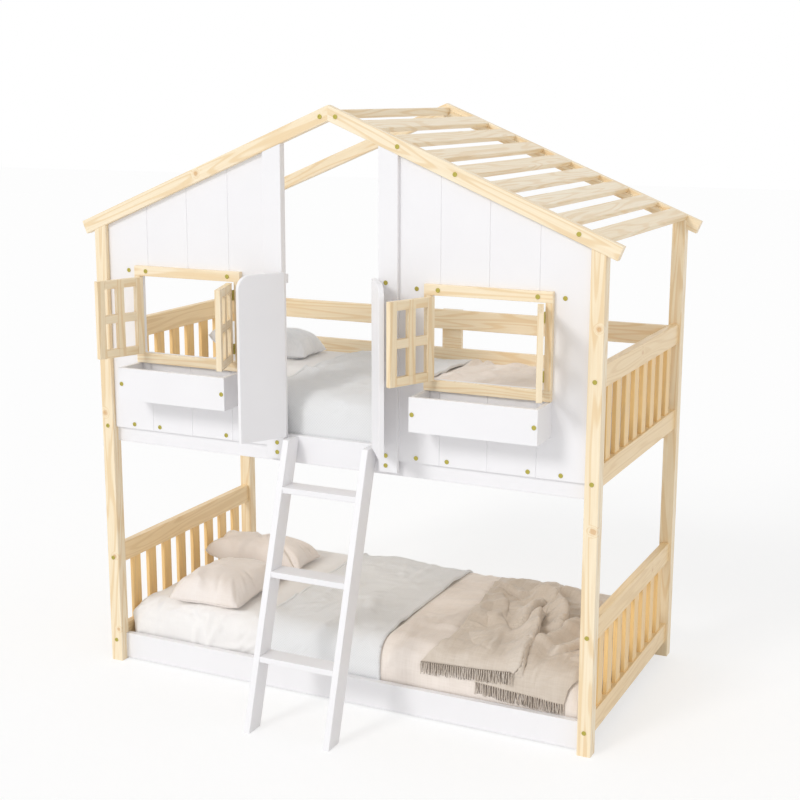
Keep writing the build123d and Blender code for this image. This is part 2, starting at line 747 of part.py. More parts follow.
with BuildPart() as bolt_heads:
    for face_y, places in bolt_rows:
        with BuildSketch(Plane.XZ.offset(-face_y)):
            with Locations(*places):
                Circle(bolt_radius)
        extrude(amount=bolt_head)
        with BuildSketch(Plane.XZ.offset(-face_y + bolt_head)):
            with Locations(*places):
                RegularPolygon(radius=bolt_socket_radius, side_count=6)
        extrude(amount=-bolt_socket_depth, mode=Mode.SUBTRACT)
    with BuildSketch(Plane.XZ.offset(-back_y)):
        with Locations(*post_bolts):
            Circle(bolt_radius)
    extrude(amount=-bolt_head)
    head_rims = bolt_heads.edges().filter_by(lambda e: e.geom_type == GeomType.CIRCLE)
    chamfer(head_rims, length=bolt_edge)
save(bolt_heads, "bolt_heads")

# Mattresses, with swollen sides and a rounded border
mattress_y = (rail_inner_front_y + rail_inner_back_y) / 2
mattress_bases = tuple(
    z + ledger_lift + ledger_size + bed_slat_thickness for z in (lower_rail_z, upper_rail_z)
)
for base_z, level_name in zip(mattress_bases, ("lower", "upper")):
    with BuildPart() as mattress:
        for height, swell in (
            (0, 0), (mattress_thickness / 2, mattress_swell), (mattress_thickness, 0)
        ):
            with BuildSketch(Plane.XY.offset(base_z + height)):
                with Locations((0, mattress_y)):
                    RectangleRounded(
                        mattress_length - 2 * mattress_swell + 2 * swell,
                        mattress_width - 2 * mattress_swell + 2 * swell,
                        mattress_corner,
                    )
        loft()
        fillet(mattress.edges().group_by(Axis.Z)[-1], radius=mattress_round)
    save(mattress, f"{level_name}_mattress")

# Quilts and covers: a tucked-in cloth whose top and front edge rise and fall in soft folds
cloth_front_y = mattress_y - mattress_width / 2
cloth_back_y = mattress_y + mattress_width / 2
quilt_left_x = pillow_length + quilt_head_gap - mattress_length / 2
cover_left_x = quilt_right_x + cloth_gap
cover_right_x = mattress_length / 2 - cover_foot_gap
fold_lift_share = 1.4


def cloth_outline(base_z, rail_top, fold, crown):
    """section of a cloth across the bed, closed by its inner face round the mattress"""
    top_z = base_z + mattress_thickness + quilt_thickness
    hem_z = rail_top - cloth_tuck
    outer_front_y = cloth_front_y - quilt_thickness
    outer_back_y = cloth_back_y + quilt_thickness
    inner_top_z = base_z + mattress_thickness + cloth_play
    bulge_z = (rail_top + top_z) / 2
    shoulder_z = top_z + fold
    corner = cloth_round * (1 - sin(radians(45)))
    front_shoulder = (outer_front_y + cloth_round, shoulder_z)
    back_shoulder = (outer_back_y - cloth_round, shoulder_z)
    front_side = (outer_front_y - fold, top_z - cloth_round)
    back_side = (outer_back_y, top_z - cloth_round)
    front_corner = (outer_front_y - fold / 2 + corner, shoulder_z - corner)
    back_corner = (outer_back_y - corner, shoulder_z - corner)
    Polyline((outer_front_y, hem_z), (outer_front_y, rail_top), (outer_front_y - fold, bulge_z), front_side)
    ThreePointArc(front_side, front_corner, front_shoulder)
    ThreePointArc(front_shoulder, (mattress_y, shoulder_z + crown), back_shoulder)
    ThreePointArc(back_shoulder, back_corner, back_side)
    Polyline(
        back_side,
        (outer_back_y, hem_z),
        (cloth_back_y + cloth_play, hem_z),
        (cloth_back_y + cloth_play, inner_top_z),
        (cloth_front_y - cloth_play, inner_top_z),
        (cloth_front_y - cloth_play, hem_z),
        (outer_front_y, hem_z),
    )


def cloth_folds(count, fold, swell):
    """fold depth and crown at each section from left to right, with the swell growing rightwards"""
    rows = []
    for k in range(count):
        share = k / (count - 1)
        wave = (fold_lift_share + sin(radians(360 * fold_wave_count * share))) / (fold_lift_share + 1)
        rows.append((share, fold * wave, quilt_crown + swell * share * wave))
    return rows


for base_z, rail_z, level_name in zip(mattress_bases, (lower_rail_z, upper_rail_z), ("lower", "upper")):
    cloths = (
        ("quilt", quilt_left_x, quilt_right_x, quilt_fold, 0),
        ("cover", cover_left_x, cover_right_x, cover_fold, throw_fold if base_z < upper_rail_z else 0),
    )
    for cloth_name, start_x, end_x, fold, swell in cloths:
        with BuildPart() as cloth:
            for share, depth, crown in cloth_folds(cloth_section_count, fold, swell):
                with BuildSketch(Plane.YZ.offset(start_x + share * (end_x - start_x))):
                    with BuildLine():
                        cloth_outline(base_z, rail_z + rail_height, depth, crown)
                    make_face()
            loft()
        save(cloth, f"{level_name}_{cloth_name}")

# Cushions: crowned lenses that swell from thin ends, with sides drawn in between the corners
cushion_station_shares = (-1, -0.93, -0.75, -0.4, 0, 0.4, 0.75, 0.93, 1)
cushion_pull_share = 0.07
cushion_under_share = 0.18


def cushion_section(share, width, thickness):
    """half width, height above and depth below the seam at a share of a cushion's half length"""
    half_width = width / 2 * (1 - cushion_pull_share * (1 - share**2))
    swell = (1 - abs(share) ** 2.4) ** 0.6
    above = cushion_edge / 2 + (thickness * (1 - cushion_under_share) - cushion_edge) * swell
    below = cushion_edge / 2 + (thickness * cushion_under_share - cushion_edge) * swell
    return half_width, above, below


mattress_tops = tuple(z + mattress_thickness for z in mattress_bases)
head_x = -mattress_length / 2
front_cushion_x = head_x + front_cushion_head_gap + cushion_width / 2
back_cushion_x = head_x + back_cushion_head_gap + pillow_length / 2
upper_cushion_x = head_x + upper_cushion_head_gap + pillow_length / 2
front_cushion_y = cloth_front_y - front_cushion_overhang + cushion_length / 2
back_cushion_y = cloth_back_y - back_cushion_margin - pillow_width / 2
upper_cushion_y = cloth_back_y - upper_cushion_margin - pillow_width / 2
front_cushion_size = (cushion_length, cushion_width, cushion_thickness)
pillow_size = (pillow_length, pillow_width, pillow_thickness)
cushions = (
    ("lower_front_cushion", front_cushion_x, front_cushion_y, mattress_tops[0], front_cushion_turn, front_cushion_size),
    ("lower_back_cushion", back_cushion_x, back_cushion_y, mattress_tops[0], back_cushion_turn, pillow_size),
    ("upper_cushion", upper_cushion_x, upper_cushion_y, mattress_tops[1], upper_cushion_turn, pillow_size),
)
for name, middle_x, middle_y, rest_z, turn, (length, width, thickness) in cushions:
    seam_lift = cushion_section(0, width, thickness)[2] + cushion_play
    middle = (middle_x, middle_y, rest_z + seam_lift)
    along = (cos(radians(turn)), sin(radians(turn)), 0)
    base = Plane(origin=middle, x_dir=along, z_dir=(0, 0, 1))
    with BuildPart() as cushion:
        for share in cushion_station_shares:
            half_width, above, below = cushion_section(share, width, thickness)
            station = base.origin + base.x_dir * (share * length / 2)
            with BuildSketch(Plane(origin=station, x_dir=base.y_dir, z_dir=base.x_dir)):
                with BuildLine():
                    ThreePointArc((-half_width, 0), (0, above), (half_width, 0))
                    ThreePointArc((half_width, 0), (0, -below), (-half_width, 0))
                make_face()
        loft()
    save(cushion, name)
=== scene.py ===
"""House bunk bed: finishes for its timber, paint and metal, its made-up bedding, and a plain studio.

Millimetres in the working, metres in Blender. +X runs along the bed to the right seen from the
ladder side, +Y to the back, +Z up.
"""
import json
from math import cos, pi, radians, sin

import bmesh
import bpy
import numpy as np
from bpy.props import FloatProperty, FloatVectorProperty, IntProperty, PointerProperty
from bpy.types import Operator, Panel, PropertyGroup
from mathutils import Euler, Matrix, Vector


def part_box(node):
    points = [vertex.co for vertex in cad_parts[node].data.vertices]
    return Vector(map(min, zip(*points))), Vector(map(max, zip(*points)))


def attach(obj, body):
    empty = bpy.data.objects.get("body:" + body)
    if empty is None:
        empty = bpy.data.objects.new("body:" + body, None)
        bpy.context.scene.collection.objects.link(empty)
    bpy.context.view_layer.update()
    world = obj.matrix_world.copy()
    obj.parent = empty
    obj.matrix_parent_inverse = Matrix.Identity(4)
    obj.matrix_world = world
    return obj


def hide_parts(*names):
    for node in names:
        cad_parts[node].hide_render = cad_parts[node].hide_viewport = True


bl_info = {
    "name": "House Bunk Bed",
    "version": (1, 0, 0),
    "blender": (4, 5, 0),
    "location": "View3D > Sidebar > Bunk Bed",
    "description": "Dresses a house bunk bed with timber, paint, metal and bedding",
    "category": "Object",
}

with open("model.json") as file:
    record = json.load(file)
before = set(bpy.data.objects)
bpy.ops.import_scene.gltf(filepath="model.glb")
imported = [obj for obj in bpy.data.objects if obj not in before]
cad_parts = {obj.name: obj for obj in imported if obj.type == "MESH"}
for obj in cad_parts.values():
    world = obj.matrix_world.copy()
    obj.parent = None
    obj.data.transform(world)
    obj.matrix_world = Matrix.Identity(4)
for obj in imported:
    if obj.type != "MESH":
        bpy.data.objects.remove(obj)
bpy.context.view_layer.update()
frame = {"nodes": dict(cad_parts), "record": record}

MM = 0.001
ROOF_PITCH = 22.4
LEVELS = ("lower", "upper")
SIDES = ("left", "right")
DOORS = ("left_door", "right_door")
LEAVES = tuple(f"{window}_window_{side}_leaf" for window in SIDES for side in SIDES)
HINGES = {joint["child"]: joint for joint in frame["record"]["behaviour"]["joints"]}
# in mm: the height of a window's trims, the middle of a leaf's width from its pin, and from where to
# where the leaf's level rails lie on each side of that middle
WINDOW_TRIM, LEAF_MIDDLE, LEAF_RAILS = 37.0, 101.0, (15.5, 68.5)


def linear(hex_colour):
    """an sRGB hex colour as linear red, green and blue"""
    shares = [int(hex_colour[i : i + 2], 16) / 255 for i in (1, 3, 5)]
    return tuple(s / 12.92 if s <= 0.04045 else ((s + 0.055) / 1.055) ** 2.4 for s in shares)


def rgba(colour):
    """a colour with full opacity"""
    return (*colour, 1.0)


def box_mm(node_name):
    """lowest and highest corner of a frame node, in millimetres"""
    low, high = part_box(node_name)
    return np.array(low) / MM, np.array(high) / MM


# Materials


def add(tree, kind, links=None, **settings):
    """a new node with its settings, and its sockets linked or given values: a node given as a link
    stands for its first output"""
    node = tree.nodes.new("ShaderNode" + kind)
    for key, value in settings.items():
        setattr(node, key, value)
    for key, value in (links or {}).items():
        if isinstance(value, bpy.types.Node):
            value = value.outputs[0]
        if isinstance(value, bpy.types.NodeSocket):
            tree.links.new(value, node.inputs[key])
        else:
            node.inputs[key].default_value = value
    return node


def new_tree(owner):
    """the emptied node tree of a material or world"""
    owner.use_nodes = True
    owner.node_tree.nodes.clear()
    return owner.node_tree


def new_material(name):
    """a material and its emptied node tree"""
    material = bpy.data.materials.new(name)
    return material, new_tree(material)


def surface(tree, links):
    """a material's surface, with the links or values of its shader's sockets"""
    add(tree, "OutputMaterial", {"Surface": add(tree, "BsdfPrincipled", links)})


# knots seen on the timber: place in mm and radius in mm
KNOTS = (
    ((-985.0, -349.0, 1016.0), 10.0),
    ((-540.0, -349.0, 1943.0), 9.0),
    ((984.0, -349.0, 1484.0), 9.0),
    ((985.0, -349.0, 806.0), 11.0),
    ((975.0, 690.0, 1306.0), 9.0),
    ((-962.0, -349.0, 132.0), 7.0),
    ((-968.0, -349.0, 436.0), 8.0),
    ((985.0, 158.0, 1328.0), 10.0),
    ((985.0, 412.0, 440.0), 10.0),
    ((-985.0, 96.0, 1330.0), 10.0),
)


def pine(name, settings, rotation=(0, 0, 0), pin=(0, 0, 0), along="X", upright=None, level=None,
         shade_warmth=0.0):
    """Clear-lacquered pine, planed and sprayed: pale yellow early wood with thin tan rings, which a
    board shows as long arches, and a soft satin gloss.

    The board's own axes come from rotation and pin. upright=(middle, reach) turns the grain to Z where z
    lies within reach of middle, and level=(middle, from, to) turns it to X where x lies that far from
    middle. The last argument moves the early wood's colour towards a deeper, warmer pine colour, as
    painted shade for boards that stand in shade.
    """
    material, tree = new_material(name)
    place = add(tree, "TexCoord").outputs["Object"]
    moved = add(tree, "VectorMath", {0: place, 1: [-c * MM for c in pin]}, operation="ADD")
    turned = add(tree, "VectorRotate", {"Vector": moved, "Rotation": rotation},
                 rotation_type="EULER_XYZ")
    axes = add(tree, "SeparateXYZ", {"Vector": turned}).outputs
    order = {"X": "XYZ", "Y": "YXZ", "Z": "ZXY"}
    grain = add(tree, "CombineXYZ", {i: axes[axis] for i, axis in enumerate(order[along])})
    region, direction = None, "Z"
    if upright:
        offset = add(tree, "Math", {0: axes["Z"], 1: upright[0] * MM}, operation="SUBTRACT")
        region = add(tree, "Math", {0: offset, 1: 0.0, 2: upright[1] * MM}, operation="COMPARE")
    if level:
        offset = add(tree, "Math", {0: axes["X"], 1: level[0] * MM}, operation="SUBTRACT")
        away = add(tree, "Math", {0: offset}, operation="ABSOLUTE")
        middle, reach = (level[1] + level[2]) / 2, (level[2] - level[1]) / 2
        region = add(tree, "Math", {0: away, 1: middle * MM, 2: reach * MM}, operation="COMPARE")
        direction = "X"
    if region:
        other = add(tree, "CombineXYZ", {i: axes[a] for i, a in enumerate(order[direction])})
        grain = add(tree, "Mix", {0: region, 4: grain, 5: other},
                    data_type="VECTOR").outputs[1]
    # rings: level lines of a field that swings every 62 mm across the board and every 0.8 m along it
    stretched = add(tree, "VectorMath", {0: grain, 1: (0.075, 1, 1)}, operation="MULTIPLY")
    field = add(tree, "TexNoise", {"Vector": stretched, "Scale": 1 / (62 * MM), "Detail": 1.2,
                                   "Roughness": 0.4, "Distortion": 0.25})
    # a knot's outline wanders by 4 mm either way, so that none is a plain circle
    wander = add(tree, "TexNoise", {"Vector": place, "Scale": 1 / (14 * MM), "Detail": 2.0}).outputs["Color"]
    shaken = add(tree, "VectorMath", {0: wander, 1: [8 * MM] * 3, 2: place}, operation="MULTIPLY_ADD")
    knot_reach = None
    for centre, radius in KNOTS:
        middle = [(c + 4) * MM for c in centre]
        gap = add(tree, "VectorMath", {0: shaken, 1: middle}, operation="DISTANCE")
        near = add(tree, "MapRange", {"Value": gap.outputs["Value"], 1: radius * 2.8 * MM, 2: 0.0},
                   interpolation_type="SMOOTHERSTEP")
        knot_reach = near if knot_reach is None else add(
            tree, "Math", {0: knot_reach, 1: near}, operation="MAXIMUM")
    # rings bend round a knot
    bent = add(tree, "Math", {0: knot_reach, 1: 0.35, 2: field}, operation="MULTIPLY_ADD")
    phase = add(tree, "Math", {0: bent, 1: settings.ring_count * 2 * pi}, operation="MULTIPLY")
    wave = add(tree, "Math", {0: phase}, operation="SINE")
    ring = add(tree, "MapRange", {"Value": wave, 1: -0.1, 2: 1.0}, interpolation_type="SMOOTHSTEP")
    # fibres: streaks 7 mm apart, coarser than real ones so that they show
    fine = add(tree, "VectorMath", {0: grain, 1: (0.03, 1, 1)}, operation="MULTIPLY")
    fibre = add(tree, "TexNoise", {"Vector": fine, "Scale": 1 / (7 * MM), "Detail": 3.0})
    # tone: each board and each lamella a little lighter or darker, changing over 150 mm
    broad = add(tree, "VectorMath", {0: grain, 1: (0.05, 1, 1)}, operation="MULTIPLY")
    tone = add(tree, "TexNoise", {"Vector": broad, "Scale": 1 / (150 * MM), "Detail": 1.0})
    pale = add(tree, "Mix", {0: tone, 6: rgba(settings.pine_pale), 7: rgba(settings.pine_warm)},
               data_type="RGBA").outputs[2]
    # painted shade: early wood pulled towards a deeper, warmer colour for boards that stand in shade
    pale = add(tree, "Mix", {0: shade_warmth, 6: pale, 7: rgba(settings.pine_painted_shade_warm)}, data_type="RGBA").outputs[2]
    share = add(tree, "Math", {0: ring, 1: 0.5}, operation="MULTIPLY")
    late = rgba(settings.pine_ring)
    ringed = add(tree, "Mix", {0: share, 6: pale, 7: late}, data_type="RGBA").outputs[2]
    streak = add(tree, "MapRange", {"Value": fibre, 1: 0.35, 2: 0.75, 3: 0.0, 4: 0.3})
    fibred = add(tree, "Mix", {0: streak, 6: ringed, 7: late}, data_type="RGBA").outputs[2]
    core = add(tree, "MapRange", {"Value": knot_reach, 1: 0.5, 2: 1.0, 3: 0.0, 4: 0.6},
               interpolation_type="SMOOTHSTEP")
    colour = add(tree, "Mix", {0: core, 6: fibred, 7: rgba(settings.pine_knot)}, data_type="RGBA").outputs[2]
    height = add(tree, "Math", {0: fibre, 1: 0.5, 2: ring}, operation="MULTIPLY_ADD")
    bump = add(tree, "Bump", {"Height": height, "Strength": 0.12, "Distance": 0.6 * MM})
    rough = add(tree, "MapRange", {"Value": fibre, 1: 0.2, 2: 0.8, 3: 0.36, 4: 0.5})
    surface(tree, {"Base Color": colour, "Roughness": rough, "Normal": bump, "IOR": 1.5,
                   "Coat Weight": 0.2, "Coat Roughness": 0.25})
    return material


def satin_paint(settings):
    """Satin white lacquer, rolled and sprayed on board: cool white, an even soft gloss, and a faint
    orange-peel ripple."""
    material, tree = new_material("satin_white_lacquer")
    place = add(tree, "TexCoord").outputs["Object"]
    # ripple of 9 mm, with cloudy 200 mm changes of tone from the board under the paint
    ripple = add(tree, "TexNoise", {"Vector": place, "Scale": 1 / (9 * MM), "Detail": 2.0})
    cloud = add(tree, "TexNoise", {"Vector": place, "Scale": 1 / (200 * MM), "Detail": 2.0})
    colour = add(tree, "Mix", {0: cloud, 6: rgba(settings.paint), 7: rgba(settings.paint_shade)},
                 data_type="RGBA").outputs[2]
    rough = add(tree, "MapRange", {"Value": ripple, 1: 0.3, 2: 0.7, 3: 0.38, 4: 0.46})
    bump = add(tree, "Bump", {"Height": ripple, "Strength": 0.06, "Distance": 0.4 * MM})
    surface(tree, {"Base Color": colour, "Roughness": rough, "Normal": bump})
    return material


def satin_brass(settings):
    """Brass-plated steel, stamped and tumbled: an olive yellow metal with fine scuffs that blur its
    gloss."""
    material, tree = new_material("satin_brass_plate")
    place = add(tree, "TexCoord").outputs["Object"]
    # scuffs of 1.5 mm, coarser than real ones so that they show
    scuff = add(tree, "TexNoise", {"Vector": place, "Scale": 1 / (1.5 * MM), "Detail": 4.0})
    colour = add(tree, "Mix", {0: scuff, 6: rgba(settings.brass), 7: rgba(settings.brass_dark)},
                 data_type="RGBA").outputs[2]
    rough = add(tree, "MapRange", {"Value": scuff, 1: 0.3, 2: 0.7, 3: 0.28, 4: 0.48})
    bump = add(tree, "Bump", {"Height": scuff, "Strength": 0.08, "Distance": 0.1 * MM})
    surface(tree, {"Base Color": colour, "Roughness": rough, "Normal": bump, "Metallic": 1.0})
    return material


def woven(name, colour, shade, thread, slub, sheen, waffle=0.0):
    """Woven cloth, matt with a faint sheen: crossed threads, and thick and thin ones that fleck its tone.

    thread is the spacing of the threads in mm, drawn no finer than shows; slub is how much thick and
    thin threads change the tone; waffle is the cell of a raised lattice in mm, or 0, whose sunken
    grooves get painted shade in the shade colour.
    """
    material, tree = new_material(name)
    place = add(tree, "TexCoord").outputs["Object"]
    axes = add(tree, "SeparateXYZ", {"Vector": place}).outputs
    # y + z runs on over the edge of the bed, so the threads turn down the side without a break
    across = add(tree, "Math", {0: axes["Y"], 1: axes["Z"]}, operation="ADD")
    threads = []
    for direction in (axes["X"], across):
        angle = add(tree, "Math", {0: direction, 1: 2 * pi / (thread * MM)}, operation="MULTIPLY")
        threads.append(add(tree, "Math", {0: angle}, operation="SINE"))
    weave = add(tree, "Math", {0: threads[0], 1: threads[1]}, operation="MULTIPLY")
    # slubs: thick and thin threads 5 mm apart, and a cloudy change of tone over 120 mm
    slubs = []
    for squash in ((0.06, 1, 1), (1, 0.06, 0.06)):
        run = add(tree, "VectorMath", {0: place, 1: squash}, operation="MULTIPLY")
        slubs.append(add(tree, "TexNoise", {"Vector": run, "Scale": 1 / (5 * MM), "Detail": 2.0}))
    slubbed = add(tree, "Math", {0: slubs[0], 1: slubs[1]}, operation="MULTIPLY")
    cloud = add(tree, "TexNoise", {"Vector": place, "Scale": 1 / (120 * MM), "Detail": 3.0})
    mottle = add(tree, "Math", {0: slubbed, 1: slub * 4, 2: cloud}, operation="MULTIPLY_ADD")
    tone = add(tree, "MapRange", {"Value": mottle, 1: 0.3, 2: 0.8 + slub})
    height = add(tree, "Math", {0: weave, 1: 0.4, 2: slubbed}, operation="MULTIPLY_ADD")
    strength, distance = 0.45, 0.5
    if waffle:
        cells = []
        for operation in ("ADD", "SUBTRACT"):
            diagonal = add(tree, "Math", {0: axes["X"], 1: across}, operation=operation)
            angle = add(tree, "Math", {0: diagonal, 1: pi / (waffle * MM)}, operation="MULTIPLY")
            wave = add(tree, "Math", {0: angle}, operation="SINE")
            cells.append(add(tree, "Math", {0: wave}, operation="ABSOLUTE"))
        pit = add(tree, "Math", {0: cells[0], 1: cells[1]}, operation="MINIMUM")
        # painted shade: the lattice's sunken grooves are mixed towards the shade colour, as shade in the
        # recesses
        edge = add(tree, "MapRange", {"Value": pit, 2: 0.3, 3: 1.0, 4: 0.0}, interpolation_type="SMOOTHSTEP")
        tone = add(tree, "Math", {0: tone, 1: 0.12}, operation="MULTIPLY")
        tone = add(tree, "Math", {0: edge, 1: 0.65, 2: tone}, operation="MULTIPLY_ADD")
        height = add(tree, "Math", {0: edge, 1: -2.5, 2: height}, operation="MULTIPLY_ADD")
        strength, distance = 0.5, 2.4
    mixed = add(tree, "Mix", {0: tone, 6: rgba(colour), 7: rgba(shade)}, data_type="RGBA", clamp_factor=True)
    bump = add(tree, "Bump", {"Height": height, "Strength": strength, "Distance": distance * MM})
    surface(tree, {"Base Color": mixed.outputs[2], "Normal": bump, "Roughness": 0.85, "Sheen Weight": sheen,
                   "Sheen Roughness": 0.4})
    return material


def dress(node_name, material):
    """gives a frame node its finish"""
    mesh = frame["nodes"][node_name].data
    mesh.materials.clear()
    mesh.materials.append(material)


# Meshes


def new_piece(name, points, faces, material, slot):
    """a mesh piece from points in mm, riding on the bed"""
    mesh = bpy.data.meshes.new(name)
    mesh.from_pydata([tuple(p) for p in np.asarray(points) * MM], [], faces)
    mesh.materials.append(material)
    mesh.polygons.foreach_set("use_smooth", [True] * len(mesh.polygons))
    mesh.update()
    piece = bpy.data.objects.new(name, mesh)
    bpy.context.scene.collection.objects.link(piece)
    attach(piece, "bed")
    return piece


def applied(piece):
    """takes the result of a piece's modifiers into its mesh"""
    graph = bpy.context.evaluated_depsgraph_get()
    mesh = bpy.data.meshes.new_from_object(piece.evaluated_get(graph))
    piece.modifiers.clear()
    piece.data = mesh


def set_points(mesh, points):
    """moves a mesh's points to new places in mm"""
    mesh.vertices.foreach_set("co", (points * MM).ravel())
    mesh.update()


def thicken(piece, thickness, offset):
    """gives a cloth its thickness in mm, evenly about its surface (offset 0) or outside it (1)"""
    body = piece.modifiers.new("cloth_thickness", "SOLIDIFY")
    body.thickness = thickness * MM
    body.offset = offset


def grid_faces(columns, rows):
    """faces of a grid of points stored column by column"""
    corners = (c * rows + r for c in range(columns - 1) for r in range(rows - 1))
    return [(i, i + rows, i + rows + 1, i + 1) for i in corners]


def tube(path, radius, sides=6, closed=False):
    """points and faces of a thin tube along a path in mm"""
    path = np.asarray(path, float)
    tangent = np.gradient(path, axis=0)
    tangent /= np.linalg.norm(tangent, axis=1)[:, None] + 1e-9
    reference = np.where(np.abs(tangent[:, 2:3]) > 0.8, [[1.0, 0, 0]], [[0, 0, 1.0]])
    side = np.cross(tangent, reference)
    side /= np.linalg.norm(side, axis=1)[:, None] + 1e-9
    up = np.cross(side, tangent)
    radii = np.broadcast_to(radius, len(path))[:, None]
    turns = [2 * pi * k / sides for k in range(sides)]
    rings = [path + radii * (side * cos(turn) + up * sin(turn)) for turn in turns]
    points = np.stack(rings, axis=1).reshape(-1, 3)
    count = len(path)
    faces = []
    for i in range(count if closed else count - 1):
        j = (i + 1) % count
        for k in range(sides):
            m = (k + 1) % sides
            faces.append((i * sides + k, i * sides + m, j * sides + m, j * sides + k))
    if not closed:
        faces.append(tuple(range(sides - 1, -1, -1)))
        faces.append(tuple((count - 1) * sides + k for k in range(sides)))
    return points, faces


def joined(parts):
    """one list of points and faces from several"""
    points, faces, start = [], [], 0
    for part_points, part_faces in parts:
        points.append(part_points)
        faces += [tuple(start + i for i in face) for face in part_faces]
        start += len(part_points)
    return np.concatenate(points), faces


def bell(distance, width):
    """1 at no distance, falling off softly over a width"""
    return np.exp(-((distance / width) ** 2))


def random_folds(x, s, seed, count, reach_x, reach_s, height, width, lean=0.0):
    """height in mm at each point from many short soft creases, each with a ridge and a valley beside
    it: count of them, centred within reach_x and reach_s, up to height mm tall, about width mm wide, and
    turned by about lean radians from the x direction"""
    draw = np.random.RandomState(seed)
    total = np.zeros_like(x)
    for _ in range(count):
        centre_x = draw.uniform(*reach_x)
        centre_s = draw.uniform(*reach_s)
        turn = draw.normal(lean, 0.7)
        half_width = width * draw.uniform(0.5, 1.6)
        half_length = half_width * draw.uniform(2.5, 7)
        size = height * draw.uniform(-0.7, 1.0)
        bend = draw.normal(0, 0.0012)
        along = (x - centre_x) * cos(turn) + (s - centre_s) * sin(turn)
        aside = -(x - centre_x) * sin(turn) + (s - centre_s) * cos(turn) + bend * along**2
        ridge = (aside / half_width) ** 2
        total += size * (1 - 0.9 * ridge) * np.exp(-ridge) * bell(along, half_length)
    return total


def fold_along(x, y, line, height, gentle, steep, lean):
    """a tall fold whose crest follows a line of points, long on its left slope and steep on its right:
    its height at each point and how far it leans over to the right, in mm along x and along y"""
    line = np.array(line, float)
    run = np.concatenate([[0], np.cumsum(np.linalg.norm(np.diff(line, axis=0), axis=1))])
    even = np.linspace(0, run[-1], 48)
    curve = np.stack([np.interp(even, run, line[:, i]) for i in (0, 1)], axis=1)
    for _ in range(12):
        curve[1:-1] = (curve[:-2] + 2 * curve[1:-1] + curve[2:]) / 4
    tangent = np.gradient(curve, axis=0)
    tangent /= np.linalg.norm(tangent, axis=1)[:, None]
    best = np.full(x.shape, 1e9)
    number = np.zeros(x.shape, int)
    for i, (curve_x, curve_y) in enumerate(curve):
        gap = np.hypot(x - curve_x, y - curve_y)
        number = np.where(gap < best, i, number)
        best = np.minimum(gap, best)
    right_x, right_y = tangent[number, 1], -tangent[number, 0]
    aside = (x - curve[number, 0]) * right_x + (y - curve[number, 1]) * right_y
    turn = aside / np.maximum(best, 1e-6)
    share = number / (len(curve) - 1)
    taper = np.clip(np.minimum(share, 1 - share) * 6, 0, 1)
    # a long slope on the left, and the round side of a tube on the right
    slope = bell(best, gentle)
    tube_side = np.sqrt(np.clip(1 - (best / steep) ** 2, 0, 1))
    right = 0.5 + 0.5 * turn
    profile = taper * (slope * (1 - right) + tube_side * right)
    return height * profile, lean * profile * right_x, lean * profile * right_y


def across_path(front_y, back_y, front_z, back_z, top_z, corner, crown, step):
    """the line of a cloth over the bed from its front hem to its back hem: y, z, outward normals and
    the distance along it"""
    turn = np.linspace(0, pi / 2, 9)
    inward, drop = corner * (1 - np.cos(turn)), corner * (1 - np.sin(turn))
    middle_y = np.linspace(front_y + corner, back_y - corner, 60)
    share = (middle_y - middle_y[0]) / (middle_y[-1] - middle_y[0])
    arch = top_z + crown * np.sin(pi * share[1:-1])
    ys = np.concatenate([[front_y], front_y + inward, middle_y[1:-1], back_y - inward[::-1], [back_y]])
    zs = np.concatenate([[front_z], top_z - drop, arch, top_z - drop[::-1], [back_z]])
    run = np.concatenate([[0], np.cumsum(np.hypot(np.diff(ys), np.diff(zs)))])
    s = np.linspace(0, run[-1], int(run[-1] / step) + 1)
    y, z = np.interp(s, run, ys), np.interp(s, run, zs)
    dy, dz = np.gradient(y), np.gradient(z)
    norm = np.hypot(dy, dz)
    return y, z, -dz / norm, dy / norm, s


def laid_cloth(x_line, path, lift):
    """points of a cloth: each column at its x, each row along the path, lifted along the path's normal"""
    y, z, normal_y, normal_z, s = path
    x, along = np.meshgrid(x_line, s, indexing="ij")
    height = lift(x, along)
    points = np.stack([x, y[None, :] + height * normal_y, z[None, :] + height * normal_z], axis=-1)
    return points, grid_faces(len(x_line), len(s))


# Settings


